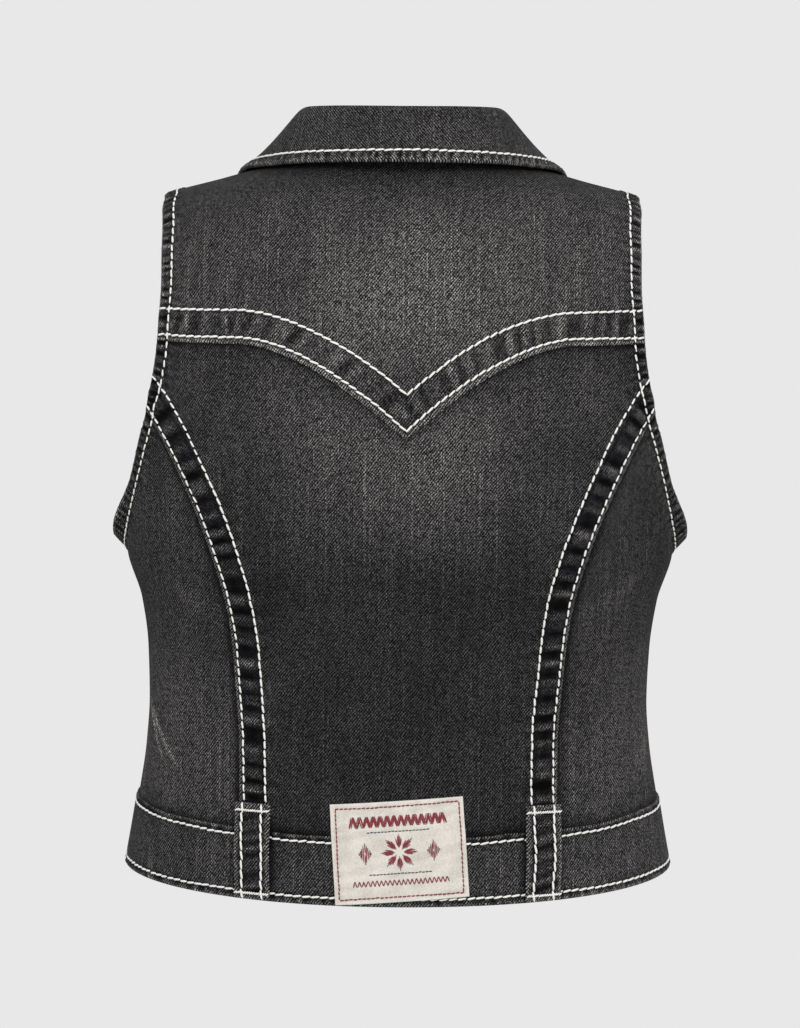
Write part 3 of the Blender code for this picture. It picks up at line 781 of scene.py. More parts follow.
@dataclass
class Wall:
    """Outer and inner points of a wall of cloth, and what its finish reads there."""

    outer: Array
    inner: Array
    grain: Array  # place on the flat cloth, in metres
    wash: Array  # lightness of the washed cloth, with a few spots of painted light and shade
    wear_and_painted_shade: Array  # change of lightness: wear on ridges, hollows and edges, and painted shade in grooves and corners
    crisp: float = 55.0  # angle in degrees above which an edge stays crisp

    def build(self, name: str, material: bpy.types.Material) -> bpy.types.Object:
        """Makes the wall as one closed mesh.

        Args:
            name: name of the object.
            material: its finish.

        Returns:
            The object.
        """
        rows, columns = self.outer.shape[:2]
        count = rows * columns
        both = np.concatenate([self.outer.reshape(-1, 3), self.inner.reshape(-1, 3)]) * MM
        shape = bmesh.new()
        bmesh.ops.create_grid(shape, x_segments=columns - 1, y_segments=rows - 1, size=1)
        place = shape.verts.layers.int.new("place")
        for index, vertex in enumerate(shape.verts):
            vertex[place] = index
        made = bmesh.ops.extrude_face_region(shape, geom=shape.faces[:], use_keep_orig=True)
        for item in made["geom"]:
            if isinstance(item, bmesh.types.BMVert):
                item[place] += count
        for vertex in shape.verts:
            vertex.co = both[vertex[place]]
        bmesh.ops.recalc_face_normals(shape, faces=shape.faces[:])
        if shape.calc_volume(signed=True) < 0:
            bmesh.ops.reverse_faces(shape, faces=shape.faces[:])
        mesh = smooth_mesh(shape, name, material, self.crisp)
        self.paint(mesh, count)
        return put(name, mesh)

    def paint(self, mesh: bpy.types.Mesh, count: int) -> None:
        """Gives the mesh its grain, wash and wear, with the painted light and shade that they carry.

        Args:
            mesh: the wall's mesh, with each point's number in its place attribute.
            count: how many points one face of the cloth has.
        """
        places = np.empty(2 * count, np.int32)
        mesh.attributes["place"].data.foreach_get("value", places)
        places %= count
        for name, values in (("wash", self.wash), ("wear_and_painted_shade", self.wear_and_painted_shade)):
            attribute = mesh.attributes.new(name, "FLOAT", "POINT")
            attribute.data.foreach_set("value", values.reshape(-1)[places].astype(np.float32))
        corners = np.empty(len(mesh.loops), np.int32)
        mesh.loops.foreach_get("vertex_index", corners)
        layer = mesh.uv_layers.new(name="grain")
        layer.data.foreach_set("uv", self.grain.reshape(-1, 2)[places[corners]].astype(np.float32).ravel())
        mesh.attributes.remove(mesh.attributes["place"])


@dataclass
class ClothPiece:
    """A piece of cloth on the figure, cut flat and sewn to its neighbours."""

    cut: Cut
    node: str
    flat: tuple[float, float]  # width and length of the cut, in metres
    area: float  # of the cut, in square metres
    side: Side = Side.BACK
    tone: float = 0.14  # lightness of the washed cloth, as an sRGB share
    spots: Rows = ()  # x, z, reach across, reach up, change of lightness
    held: str = "hung"
    slot: str = "charcoal_denim"
    thickness: float = 1.5
    seed: float = 0.0
    shaded_by: SeamLine | None = None  # an edge that lies on the piece, with painted shade under it
    under_edge: PaintedShade = PaintedShade(0.09, 3.2)

    def points(self) -> Array:
        """Grid of points on the figure, rows by columns."""
        raise NotImplementedError

    def relief(self, points: Array) -> Pair:
        """Height above plain cloth, and wear with painted shade."""
        raise NotImplementedError

    def fold_distance(self, points: Array) -> Array:
        """Distance from the nearest folded edge, which is round. Most pieces fold at the armhole."""
        return self.cut.from_armhole(points, self.side)[0]

    def base_height(self, points: Array) -> Array:
        """Height of the piece's underside above the outer face of plain cloth."""
        return np.full(points.shape[:-1], -self.thickness)

    def grain(self, points: Array) -> Array:
        """Lays the piece flat, with the warp straight down the figure.

        Args:
            points: the piece's grid of points.

        Returns:
            Place of each point on the flat cloth, in metres.
        """
        across = self.cut.figure.arc(points[..., 0], points[..., 2], self.side)
        up = np.linalg.norm(np.diff(points, axis=0), axis=-1)
        up = np.concatenate([np.zeros((1, points.shape[1])), np.cumsum(up, axis=0)])
        return np.stack([self.side.value * across, points[0, :, 2] + up], axis=-1) * MM + self.seed

    def wash(self, points: Array) -> Array:
        """Works out the wash, with its faded spots and a few spots of painted light and shade.

        Args:
            points: points on the figure.

        Returns:
            Lightness of the washed cloth, with its painted light and shade.
        """
        level = np.full(points.shape[:-1], self.tone)
        for x, z, across, up, change in self.spots:
            away = ((points[..., 0] - x) / across) ** 2 + ((points[..., 2] - z) / up) ** 2
            level += change * np.exp(-(away**1.3))
        return level

    def wall(self) -> Wall:
        """Works out the piece's wall, with its folded edges rounded.

        Returns:
            The wall.
        """
        cut, figure, sign = self.cut, self.cut.figure, self.side.value
        points = self.points()
        points[..., 1] = sign * np.maximum(sign * points[..., 1], 0)
        rise, wear_and_painted_shade = self.relief(points)
        flare = cut.flare(points, self.side)
        under = self.base_height(points)
        radius = cut.fold_share * (rise - under)
        inside = np.clip(radius - self.fold_distance(points), 0, radius)
        drop = radius - np.sqrt(np.maximum(radius**2 - inside**2, 0))
        joint = np.exp(-((points[..., 1] / cut.joint_width) ** 2))
        # painted shade in the groove of the side and shoulder seams
        wear_and_painted_shade = wear_and_painted_shade - cut.joint_shade * joint
        # painted shade beside an edge that lies on the piece
        if self.shaded_by is not None:
            wear_and_painted_shade = wear_and_painted_shade + self.under_edge.at(self.shaded_by.nearest(points)[0])
        outer = figure.lifted(points, flare + rise - cut.joint_depth * joint - drop)
        inner = figure.lifted(points, flare + under + drop)
        wash = self.wash(points) + cut.crease_shape(points)[1]
        return Wall(outer, inner, self.grain(points), wash, wear_and_painted_shade)

    def build(self, material: bpy.types.Material) -> bpy.types.Object:
        """Makes the piece in place of its solid.

        Args:
            material: its finish.

        Returns:
            The object.
        """
        piece = self.wall().build(f"{self.node}_cloth", material)
        declare(piece, self.node)
        LOG.info("%s: %d faces", piece.name, len(piece.data.polygons))
        return piece


@dataclass
class BackYoke(ClothPiece):
    """Pointed back yoke with the shoulders, lapped over the back panel."""

    node: str = "back_yoke"
    flat: tuple[float, float] = (0.33, 0.175)
    area: float = 0.0395
    tone: float = 0.147
    spots: Rows = (
        (-4.0, -78.0, 76.0, 48.0, 0.062), (-50.0, -45.0, 60.0, 28.0, 0.015),
        (104.0, -62.0, 38.0, 40.0, 0.02), (-104.0, -62.0, 38.0, 40.0, 0.02),
        # the last row darkens the top of the yoke under the collar: painted shade
        (0.0, 2.0, 130.0, 18.0, -0.03),
    )
    overhang: float = 0.5  # the fold reaches this far past the seam
    hem_width: float = 12.0  # fine columns along the armholes
    lap_width: float = 20.0  # fine rows along the seam
    rows: int = 84
    closing: float = 1.6  # how the rows close up towards the shoulder
    neck_columns: int = 40
    shoulder_columns: int = 26

    def points(self) -> Array:
        """Lays a grid from the pointed seam up to the neckline and the shoulder seams.

        Returns:
            The points.
        """
        cut = self.cut
        tip_x = float(cut.armhole_x(cut.tip_height, Side.BACK))
        corner = cut.neck_half / (tip_x - self.hem_width)
        neck = corner * np.sin(np.linspace(0, math.pi / 2, self.neck_columns))
        shares = np.concatenate([neck, np.linspace(corner, 1, self.shoulder_columns)[1:]])
        share, inset = both_sides(shares, edge_steps(self.hem_width)).T

        def across(z: Array) -> Array:
            """Place of each column at its height."""
            reach = np.where(z < cut.tip_height, cut.armhole_x(z, Side.BACK), tip_x)
            return share * (reach - inset) + cut.middle_shift(share, z)

        low_x = across(np.full(len(share), cut.yoke_level))
        low = cut.yoke_height(low_x) - self.overhang
        high = cut.top_height(across(np.zeros(len(share))), Side.BACK)
        lap = low + edge_steps(self.lap_width)[:, None] * cut.yoke_stretch(low_x)
        parts = 1 - (1 - np.linspace(0, 1, self.rows)[1:, None]) ** self.closing
        heights = np.concatenate([lap, lap[-1] + (high - lap[-1]) * parts])
        points = cut.figure.on(np.array([across(z) for z in heights]), heights, Side.BACK)
        points[-1, np.abs(points[-1, :, 0]) >= cut.neck_half - cut.seam_gap, 1] = 0
        return points

    def relief(self, points: Array) -> Pair:
        """Lapped seam and armhole hems."""
        return stacked(self.cut.yoke_shape(points), self.cut.hem_shape(points, Side.BACK))

    def fold_distance(self, points: Array) -> Array:
        """Distance from the seam's fold and from the armholes."""
        seam = SeamLine(self.cut.yoke_line.points - np.array([0, 0, self.overhang]))
        return np.minimum(seam.nearest(points)[0], super().fold_distance(points))


@dataclass
class BackPanel(ClothPiece):
    """Back panel under the yoke, its sides lapped over the side-back panels."""

    node: str = "back_panel"
    flat: tuple[float, float] = (0.30, 0.27)
    area: float = 0.056
    tone: float = 0.114
    spots: Rows = (
        (-4.0, -160.0, 84.0, 46.0, 0.08), (92.0, -120.0, 46.0, 28.0, 0.028),
        (-92.0, -120.0, 46.0, 28.0, 0.028),
    )
    overhang: float = 0.5
    lap_width: float = 18.0  # fine columns along the seams
    rows: int = 130
    top_rows: int = 40
    columns: int = 40
    under_yoke: PaintedShade = PaintedShade(0.11, 1.9)

    def points(self) -> Array:
        """Lays a grid from the waistband up to the yoke.

        Returns:
            The points.
        """
        cut = self.cut
        share, inset = both_sides(np.linspace(0, 1, self.columns), edge_steps(self.lap_width)).T

        def across(z: Array) -> Array:
            """Place of each column at its height."""
            reach = np.minimum(cut.armhole_x(z, Side.BACK), cut.princess_x(z) + self.overhang)
            return share * (reach - inset) + cut.middle_shift(share, z)

        low_x, high_x = (across(np.full(len(share), z)) for z in (cut.waist_top_level, cut.yoke_level))
        low = cut.waist_top(low_x, Side.BACK) - cut.waist_tuck
        high = cut.yoke_height(high_x) - cut.seam_gap
        corner = (cut.princess_top - low[-1]) / (high[-1] - low[-1])
        parts = np.concatenate([np.linspace(0, corner, self.rows), np.linspace(corner, 1, self.top_rows)[1:]])
        heights = low + (high - low) * parts[:, None]
        return cut.figure.on(np.array([across(z) for z in heights]), heights, Side.BACK)

    def relief(self, points: Array) -> Pair:
        """Works out the lapped seams, the armhole hems and the painted shade under the yoke's fold.

        Args:
            points: points on the figure.

        Returns:
            Height above plain cloth, and wear with painted shade.
        """
        cut = self.cut
        rise, wear_and_painted_shade = stacked(cut.princess_shape(points), cut.hem_shape(points, Side.BACK))
        # painted shade under the yoke's folded edge
        shade = self.under_yoke.at(cut.yoke_line.nearest(points)[0])
        return rise, wear_and_painted_shade + shade + cut.waist_shade(points, Side.BACK)

    def fold_distance(self, points: Array) -> Array:
        """Distance from the folds of the curved seams and from the armholes."""
        seam = SeamLine(self.cut.princess_line.points + np.array([self.overhang, 0, 0]))
        return np.minimum(seam.nearest(self.cut.left(points))[0], super().fold_distance(points))


@dataclass
class SideBack(ClothPiece):
    """Side-back panel from the curved seam round to the side seam, under the armhole."""

    flat: tuple[float, float] = (0.115, 0.225)
    area: float = 0.0195
    tone: float = 0.133
    hand: Hand = Hand.LEFT
    hem_width: float = 16.0  # fine rows along the armhole
    rows: int = 140
    columns: int = 90
    beside_seam: PaintedShade = PaintedShade(0.11, 1.8)

    def points(self) -> Array:
        """Lays a grid from the waistband up to the armhole.

        Returns:
            The points.
        """
        cut, figure = self.cut, self.cut.figure

        def angle(points: Array) -> Array:
            """Turn of points round the figure."""
            half, back = figure.at(points[..., 2])[:2]
            return np.arctan2(points[..., 0] / half, points[..., 1] / back)

        def seam_angle(z: Array) -> Array:
            """Turn at which the curved seam lies."""
            return angle(figure.on(cut.princess_x(z) + cut.seam_gap / 2, z, Side.BACK))

        edge = cut.armhole_edge(Side.BACK)
        edge = edge[edge[:, 2] < cut.princess_top]
        start = seam_angle(edge[:, 2])
        edge_share = (angle(edge) - start) / (math.pi / 2 - start)
        share = np.sin(np.linspace(0, math.pi / 2, self.columns)) ** 0.8
        high = np.interp(share, edge_share, edge[:, 2])
        low_start = seam_angle(np.array(cut.waist_top_level))
        low_turn = low_start + share * (math.pi / 2 - low_start)
        low_x = figure.ring(low_turn, np.full(len(share), cut.waist_top_level))[..., 0]
        low = cut.waist_top(low_x, Side.BACK) - cut.waist_tuck
        hem_rows = 1 - edge_steps(self.hem_width)[::-1, None] / (high - low)
        plain_rows = hem_rows[0] * np.linspace(0, 1, self.rows)[:-1, None]
        to_hem = np.concatenate([plain_rows, hem_rows])
        even = np.linspace(0, 1, len(to_hem))[:, None]
        heights = low + (high - low) * (even + (to_hem - even) * ease(3 * share))
        points = figure.ring(seam_angle(heights) + share * (math.pi / 2 - seam_angle(heights)), heights)
        points[..., 0] *= self.hand.value
        return points

    def relief(self, points: Array) -> Pair:
        """Works out the armhole hem and the painted shade under the lapped seam.

        Args:
            points: points on the figure.

        Returns:
            Height above plain cloth, and wear with painted shade.
        """
        hem, wear_and_painted_shade = self.cut.hem_shape(points, Side.BACK)
        # painted shade beside the lapped curved seam
        shade = self.beside_seam.at(self.cut.princess_line.nearest(self.cut.left(points))[0])
        return hem, wear_and_painted_shade + self.cut.waist_shade(points, Side.BACK) + shade


@dataclass
class FrontPanel(ClothPiece):
    """Plain front from the middle round to the side seam and up to the shoulder."""

    side: Side = Side.FRONT
    hand: Hand = Hand.LEFT
    hem_width: float = 16.0  # fine rows under the armhole
    neck_columns: int = 30
    side_columns: int = 34
    rows: int = 56
    armhole_rows: int = 120
    closing: float = 1.6  # how the rows close up towards the shoulder

    def points(self) -> Array:
        """Lays a grid from the waistband up to the neckline and the shoulder seam.

        Returns:
            The points.
        """
        cut, figure = self.cut, self.cut.figure
        middle = self.hand.value * cut.front_edge_x + cut.seam_gap / 2
        tip_x = float(cut.armhole_x(cut.tip_height, Side.FRONT))
        first = math.asin(middle / cut.neck_half)
        neck = cut.neck_half * np.sin(np.linspace(first, math.pi / 2, self.neck_columns))
        shares = (neck - middle) / (tip_x - middle)
        rest = np.sin(np.linspace(math.asin(shares[-1]), math.pi / 2, self.side_columns)[1:])
        share = np.concatenate([shares, rest])

        def across(z: Array) -> Array:
            """Place of each column at its height."""
            outer = np.where(z < cut.underarm_height, figure.at(z)[0], cut.armhole_x(z, Side.FRONT))
            return middle + share * (np.where(z > cut.tip_height, tip_x, outer) - middle)

        low = np.full(len(share), cut.waist_top_level - cut.waist_tuck)
        high = cut.top_height(across(np.zeros(len(share))), Side.FRONT)
        tall = high[-1] - low[-1]
        corner = (cut.underarm_height - low[-1]) / tall
        rising = 1 - (1 - np.linspace(0, 1, self.armhole_rows)[1:]) ** self.closing
        hem = corner - edge_steps(self.hem_width)[::-1] / tall
        plain = np.linspace(0, hem[0], self.rows)[:-1]
        parts = np.concatenate([plain, hem, corner + (1 - corner) * rising])
        heights = low + (high - low) * parts[:, None]
        points = figure.on(np.array([across(z) for z in heights]), heights, Side.FRONT)
        points[-1, points[-1, :, 0] >= cut.neck_half - cut.seam_gap, 1] = 0
        points[..., 0] *= self.hand.value
        return points

    def relief(self, points: Array) -> Pair:
        """Armhole hem, and the painted shade above the waistband."""
        hem, wear_and_painted_shade = self.cut.hem_shape(points, Side.FRONT)
        return hem, wear_and_painted_shade + self.cut.waist_shade(points, Side.FRONT)


@dataclass
class Waistband(ClothPiece):
    """A length of waistband, folded at its top and at the vest's lower edge."""

    tone: float = 0.15
    # the spot lightens the band on the wearer's right: painted light, as if that side were lit more
    spots: Rows = ((-118.0, -382.0, 46.0, 40.0, 0.02),)
    edges: tuple[float, float] = (-1.0, 1.0)  # ends, as distances from the middle plane
    columns: int = 120
    edge_width: float = 9.0  # fine rows along both edges
    middle_rows: int = 14
    round_share: float = 2.2  # how little the depth counts on the way round
    top_band: Band = Band(
        width=99.0, rise=1.3, rows=(3.6,), pitch=7.5, pucker=0.25, contrast=0.06, slant=0.0, seed=0.9,
        reach=9.0, edge_wear=0.12, edge_reach=0.9, row_shade=0.09, tone=-0.06,
    )
    hem_band: Band = Band(
        width=99.0, rise=1.3, rows=(4.3,), pitch=5.2, pucker=0.4, contrast=0.085, slant=0.1, seed=2.7,
        reach=3.0, edge_wear=0.11, edge_reach=1.2, row_shade=0.08, tone=-0.03,
    )
    beside_loop: PaintedShade = PaintedShade(0.1, 1.8)

    def turns(self) -> Array:
        """Spreads the columns round the figure.

        Returns:
            The angle of each column.
        """
        level = self.cut.hem_level
        half, depth, _ = self.cut.figure.section(level, self.side is Side.BACK)
        ends = self.cut.figure.on(np.array(self.edges), level, self.side)
        angle = np.arctan2(ends[:, 0] / half, ends[:, 1] / depth)
        if self.side is Side.FRONT:
            angle = angle % math.tau
        return np.linspace(angle[0], angle[1], self.columns)

    def edge_lines(self, inset: tuple[float, float]) -> Pair:
        """Draws lines along the band beside its two edges.

        Args:
            inset: distance below the top edge, and distance above the hem.

        Returns:
            Points of the line at the top and of the line at the hem.
        """
        cut, turn = self.cut, self.turns()
        levels = (cut.waist_top_level, cut.hem_level)
        top_x, hem_x = (cut.figure.ring(turn, np.full(len(turn), level))[..., 0] for level in levels)
        top = cut.figure.ring(turn, cut.waist_top(top_x, self.side) - inset[0])
        return top, cut.figure.ring(turn, cut.hem_height(hem_x, self.side) + inset[1])

    def points(self) -> Array:
        """Lays a grid from the hem up to the top edge.

        Returns:
            The points.
        """
        edge = edge_steps(self.edge_width) / (self.cut.waist_top_level - self.cut.hem_level)
        plain = np.linspace(edge[-1], 1 - edge[-1], self.middle_rows)[1:-1]
        parts = np.concatenate([edge, plain, 1 - edge[::-1]])
        top, hem = self.edge_lines((0.0, 0.0))
        heights = hem[:, 2] + parts[:, None] * (top[:, 2] - hem[:, 2])
        return self.cut.figure.ring(self.turns() + 0 * heights, heights)

    def edge_distances(self, points: Array) -> Pair:
        """Distance below the top edge and above the hem."""
        above_hem = points[..., 2] - self.cut.hem_height(points[..., 0], self.side)
        return -self.cut.above_waist(points, self.side), above_hem

    def relief(self, points: Array) -> Pair:
        """Works out both folded and stitched edges, and the painted shade beside the belt loops.

        Args:
            points: points on the figure.

        Returns:
            Height above plain cloth, and wear with painted shade.
        """
        from_top, from_hem = (np.clip(away, 0, None) for away in self.edge_distances(points))
        along = points[..., 0] + self.side.value * points[..., 1] / self.round_share
        top, top_wear_and_painted_shade = self.top_band.shape(from_top, along)
        hem, hem_wear_and_painted_shade = self.hem_band.shape(from_hem, along)
        wear_and_painted_shade = top_wear_and_painted_shade + hem_wear_and_painted_shade
        # painted shade beside the belt loops
        if self.side is Side.BACK:
            beside = np.abs(np.abs(points[..., 0]) - self.cut.loop_middle) - self.cut.loop_width / 2
            wear_and_painted_shade = wear_and_painted_shade + self.beside_loop.at(beside)
        return top + hem - self.cut.waist_rise, wear_and_painted_shade

    def fold_distance(self, points: Array) -> Array:
        """Distance from the top edge or the hem."""
        return np.clip(np.minimum(*self.edge_distances(points)), 0, None)

    def base_height(self, points: Array) -> Array:
        """Underside of the doubled band."""
        return np.full(points.shape[:-1], self.cut.waist_rise - self.cut.waist_wall)


@dataclass
class LaidStrip(ClothPiece):
    """A small rectangle of cloth that lies on other pieces, a little askew where it says so."""

    centre: tuple[float, float] = (0.0, 0.0)  # x and z
    size: tuple[float, float] = (10.0, 10.0)
    tilt: float = 0.0
    wall_size: float = 2.0
    over_waistband: bool = True
    bow: float = 0.0  # how far its middle stands off
    edge_width: float = 4.0  # fine rows and columns along the edges
    step: float = 1.6
    stitch_inset: float = 4.0
    pitch: float = 8.0  # between puckers
    pucker: float = 0.12
    contrast: float = 0.03
    groove: float = 0.1

    def local(self) -> list[Array]:
        """Spreads the grid over the strip.

        Returns:
            Distance of each column from the -X edge, and of each row from the lower edge.
        """
        edge, steps = edge_steps(self.edge_width), []
        for length in self.size:
            count = max(3, int((length - 2 * self.edge_width) / self.step))
            middle = np.linspace(self.edge_width, length - self.edge_width, count)[1:-1]
            steps.append(np.concatenate([edge, middle, length - edge[::-1]]))
        return steps

    def at(self, across: Array, up: Array) -> Array:
        """Points on the figure under places on the strip.

        Args:
            across: distance from the strip's -X edge.
            up: distance from its lower edge.

        Returns:
            The points.
        """
        along, rise = across - self.size[0] / 2, up - self.size[1] / 2
        x = self.centre[0] + along * math.cos(self.tilt) + rise * math.sin(self.tilt)
        z = self.centre[1] - along * math.sin(self.tilt) + rise * math.cos(self.tilt)
        return self.cut.figure.on(x, z, self.side)

    def points(self) -> Array:
        """Grid over the strip."""
        across, up = self.local()
        return self.at(across[None, :] + 0 * up[:, None], up[:, None] + 0 * across[None, :])

    def base_height(self, points: Array) -> Array:
        """Finds the underside, on the panel or on the waistband, with the bow of a loop.

        Args:
            points: points on the figure.

        Returns:
            Height above plain cloth.
        """
        middle = np.clip(0.5 + (points[..., 2] - self.centre[1]) / self.size[1], 0, 1)
        lie = self.cut.waist_rise + self.cut.lay_gap
        if self.over_waistband:
            lie = self.cut.lying_height(points, self.side)
        return lie + self.bow * np.sin(math.pi * middle) ** 2

    def fold_distance(self, points: Array) -> Array:
        """Distance of each grid point from the strip's nearest edge."""
        across, up = (np.minimum(step, size - step) for step, size in zip(self.local(), self.size))
        return np.minimum(across[None, :], up[:, None])

    def relief(self, points: Array) -> Pair:
        """Works out the face, drawn in a little along its stitches and rubbed at its edges.

        Args:
            points: the strip's grid of points.

        Returns:
            Height above plain cloth, and wear.
        """
        edge = self.fold_distance(points)
        wave = roping(points[..., 0] * 0.25 + points[..., 2], self.pitch, self.seed)
        near = np.exp(-(((edge - self.stitch_inset) / 3.0) ** 2))
        pull = np.exp(-((edge - self.stitch_inset) ** 2))
        rubbed = np.exp(-((edge / (0.7 * self.stitch_inset)) ** 2))
        rise = self.base_height(points) + self.wall_size + self.pucker * wave * near - self.groove * pull
        # the pull term darkens along the stitches as painted shade in their groove; the rubbed term is edge
        # wear
        return rise, self.contrast * (wave * (1 - rubbed) + 1.3 * rubbed - 1.2 * pull)

    def seat(self, across: Array, up: Array) -> Pair:
        """Where stitches sit.

        Args:
            across: distance from the strip's -X edge.
            up: distance from its lower edge.

        Returns:
            Points on the strip's face, and the way out from it.
        """
        points = self.at(np.asarray(across, float), np.asarray(up, float))
        height = self.base_height(points) + self.wall_size + self.cut.flare(points, self.side)
        return self.cut.figure.lifted(points, height), self.cut.figure.outward(points)[0]


@dataclass
class Collar(ClothPiece):
    """Collar in one piece, standing round the neck, folded over and lying on the shoulders."""

    node: str = "collar"
    flat: tuple[float, float] = (0.47, 0.085)
    area: float = 0.0324
    tone: float = 0.149
    held: str = "folded"
    seed: float = 4.9
    wall_size: float = 2.2
    roll: float = 20.0
    fall_roll: float = 0.4
    fall_flare: tuple[float, float, float] = (1.35, 1.35, 0.8)
    stand_pull: float = 0.8
    clear: float = 1.9  # of the shoulders
    clear_on_band: float = 4.4  # over the front band
    band_reach: tuple[float, float] = (40.0, 15.0)  # half width of that stretch, and its slope
    lying_part: tuple[float, float] = (0.15, 0.17)  # share of the fall where it begins to lie, and slope
    columns: int = 190
    stand_rows: int = 18
    fall_rows: int = 34
    edge_width: float = 9.0  # fine rows along the edge
    row_inset: float = 7.0
    faded: tuple[float, float, float] = (0.02, 0.55, 9.0)  # lightness, place and reach of the fall's wash
    half_rows: Rows = (
        # share of the neckline, fold x y z, edge x y z
        (0.00, 0.0, 49.0, 28.4, 0.0, 67.5, -0.6), (0.20, 32.5, 40.5, 28.6, 48.0, 52.0, -1.2),
        (0.33, 51.0, 24.0, 28.4, 75.0, 27.5, -3.2), (0.42, 56.8, 4.0, 26.0, 89.0, 0.0, -5.0),
        (0.50, 57.5, -16.0, 18.0, 95.0, -27.0, -14.0), (0.64, 55.0, -46.0, -8.0, 94.0, -60.0, -47.0),
        (0.78, 42.0, -70.0, -36.0, 83.0, -85.0, -80.0), (0.95, 12.0, -82.0, -53.5, 63.0, -103.0, -110.0),
    )
    band: Band = Band(
        width=7.4, rise=0.45, rows=(7.0,), pitch=4.9, pucker=0.5, contrast=0.115, slant=0.1, seed=0.7,
        reach=2.5, edge_wear=0.09, edge_reach=1.6,
    )
    outer: Array = field(init=False)  # outer face, for the stitches
    normal: Array = field(init=False)
    from_edge: Array = field(init=False)
    from_end: Array = field(init=False)

    def neck_seam(self) -> Pair:
        """Draws half the neckline.

        Returns:
            Shares of its length, and the points there.
        """
        cut = self.cut
        turn = np.linspace(0, math.pi / 2, 60)
        back_x, front_x = cut.neck_half * np.sin(turn), cut.neck_half * np.cos(turn)
        back = cut.figure.on(back_x, cut.neck_height(back_x, Side.BACK), Side.BACK)
        front = cut.figure.on(front_x, cut.neck_height(front_x, Side.FRONT), Side.FRONT)
        seam = np.concatenate([back, front[1:]])
        along = along_line(seam)
        parts = np.linspace(0, self.half_rows[-1][0], self.columns)
        return parts, read_line(parts, along / along[-1], seam)

    def lay_on_shoulders(self, fall: Array, fall_parts: Array) -> None:
        """Moves the fall clear of the cloth under it.

        Args:
            fall: rows of points, which are moved.
            fall_parts: share of the fall at each row.
        """
        figure, (half, slope), (start, run) = self.cut.figure, self.band_reach, self.lying_part
        for row, part in zip(fall, fall_parts):
            on_band = ease((half - np.abs(row[:, 0])) / slope) * (row[:, 1] < 0)
            clear = self.clear + (self.clear_on_band - self.clear) * on_band
            for _ in range(6):
                away, steepness = figure.outward(row)
                short = np.maximum(clear - (figure.fullness(row) - 1) / steepness, 0)
                row += away * (ease((part - start) / run) * short)[:, None]

    def middle(self) -> Array:
        """Works out the middle of the collar's wall.

        Returns:
            Points, a row for each step from the neck seam over the fold to the edge.
        """
        parts, seam = self.neck_seam()
        mirror = np.array(self.half_rows[1:]) * np.array([-1, -1, 1, 1, -1, 1, 1])
        table = np.array(sorted(list(self.half_rows) + [tuple(row) for row in mirror])).T
        read = np.stack([through(table[0], column, parts) for column in table[1:]], axis=-1)
        fold, edge = read[:, :3], read[:, 3:]
        normal = self.cut.figure.outward(seam)[0]
        into_neck = unit(np.cross(np.gradient(seam, axis=0), normal))
        into_neck[into_neck[:, 2] < 0] *= -1
        level = np.linalg.norm(into_neck[:, :2], axis=-1, keepdims=True)
        lift = self.cut.lay_gap + self.cut.seam_gap + level * self.wall_size / 2
        base = seam - normal * self.cut.cloth / 2 + into_neck * lift
        out = unit((edge - base) * np.array([1.0, 1.0, 0.0]))
        stand_pull = np.linalg.norm(fold - base, axis=-1, keepdims=True) * np.array([0, 0, self.stand_pull])
        stand_parts = np.linspace(0, 1, self.stand_rows)[:-1]
        stand = cubic(base, stand_pull, fold, out * self.roll, stand_parts[:, None, None])
        length = float(np.linalg.norm(edge - fold, axis=1).mean())
        plain = np.linspace(0, 1 - self.edge_width / length, self.fall_rows)[:-1]
        fall_parts = np.concatenate([plain, 1 - edge_steps(self.edge_width, 1.0)[::-1] / length])
        edge_pull = (edge - fold) * np.array(self.fall_flare)
        fall = cubic(fold, out * self.roll * self.fall_roll, edge, edge_pull, fall_parts[:, None, None])
        self.lay_on_shoulders(fall, fall_parts)
        half = np.concatenate([stand, fall])
        return np.concatenate([half[:, :0:-1] * np.array([-1.0, 1.0, 1.0]), half], axis=1)

    def edge_distances(self, middle: Array) -> tuple[Array, Array, Array]:
        """Measures the collar from its edges.

        Args:
            middle: the middle of the collar's wall.

        Returns:
            Distance from the long edge, distance from the front ends, and place along the collar.
        """
        up = np.linalg.norm(np.diff(middle, axis=0), axis=-1)
        from_edge = np.concatenate([np.cumsum(up[::-1], axis=0)[::-1], np.zeros((1, middle.shape[1]))])
        across = np.linalg.norm(np.diff(middle, axis=1), axis=-1)
        along = np.concatenate([np.zeros((len(middle), 1)), np.cumsum(across, axis=1)], axis=1)
        from_end = np.minimum(along, along[:, -1:] - along)
        return from_edge, from_end, along - along[:, -1:] / 2

    def wall(self) -> Wall:
        """Works out both faces of the collar, with its stitched edge thicker and ribbed.

        Returns:
            The wall.
        """
        middle = self.middle()
        normal = unit(np.cross(np.gradient(middle, axis=1), np.gradient(middle, axis=0)))
        from_edge, from_end, along = self.edge_distances(middle)
        nearest = np.minimum(from_edge, from_end)
        rise, wear_and_painted_shade = self.band.shape(nearest, np.where(from_end < from_edge, from_edge, along))
        half = self.wall_size / 2 + np.stack([rise, 0.4 * rise])
        inside = np.clip(half - nearest, 0, half)
        half = np.sqrt(np.maximum(half**2 - inside**2, 0.01))
        grain = np.stack([along, -from_edge], axis=-1) * MM + self.seed
        light, place, reach = self.faded
        wash = self.wash(middle) + light * np.exp(-(((from_edge - from_edge[0].max() * place) / reach) ** 2))
        self.outer, self.normal = middle + normal * half[0][..., None], normal
        self.from_edge, self.from_end = from_edge, from_end
        return Wall(self.outer, middle - normal * half[1][..., None], grain, wash, wear_and_painted_shade)

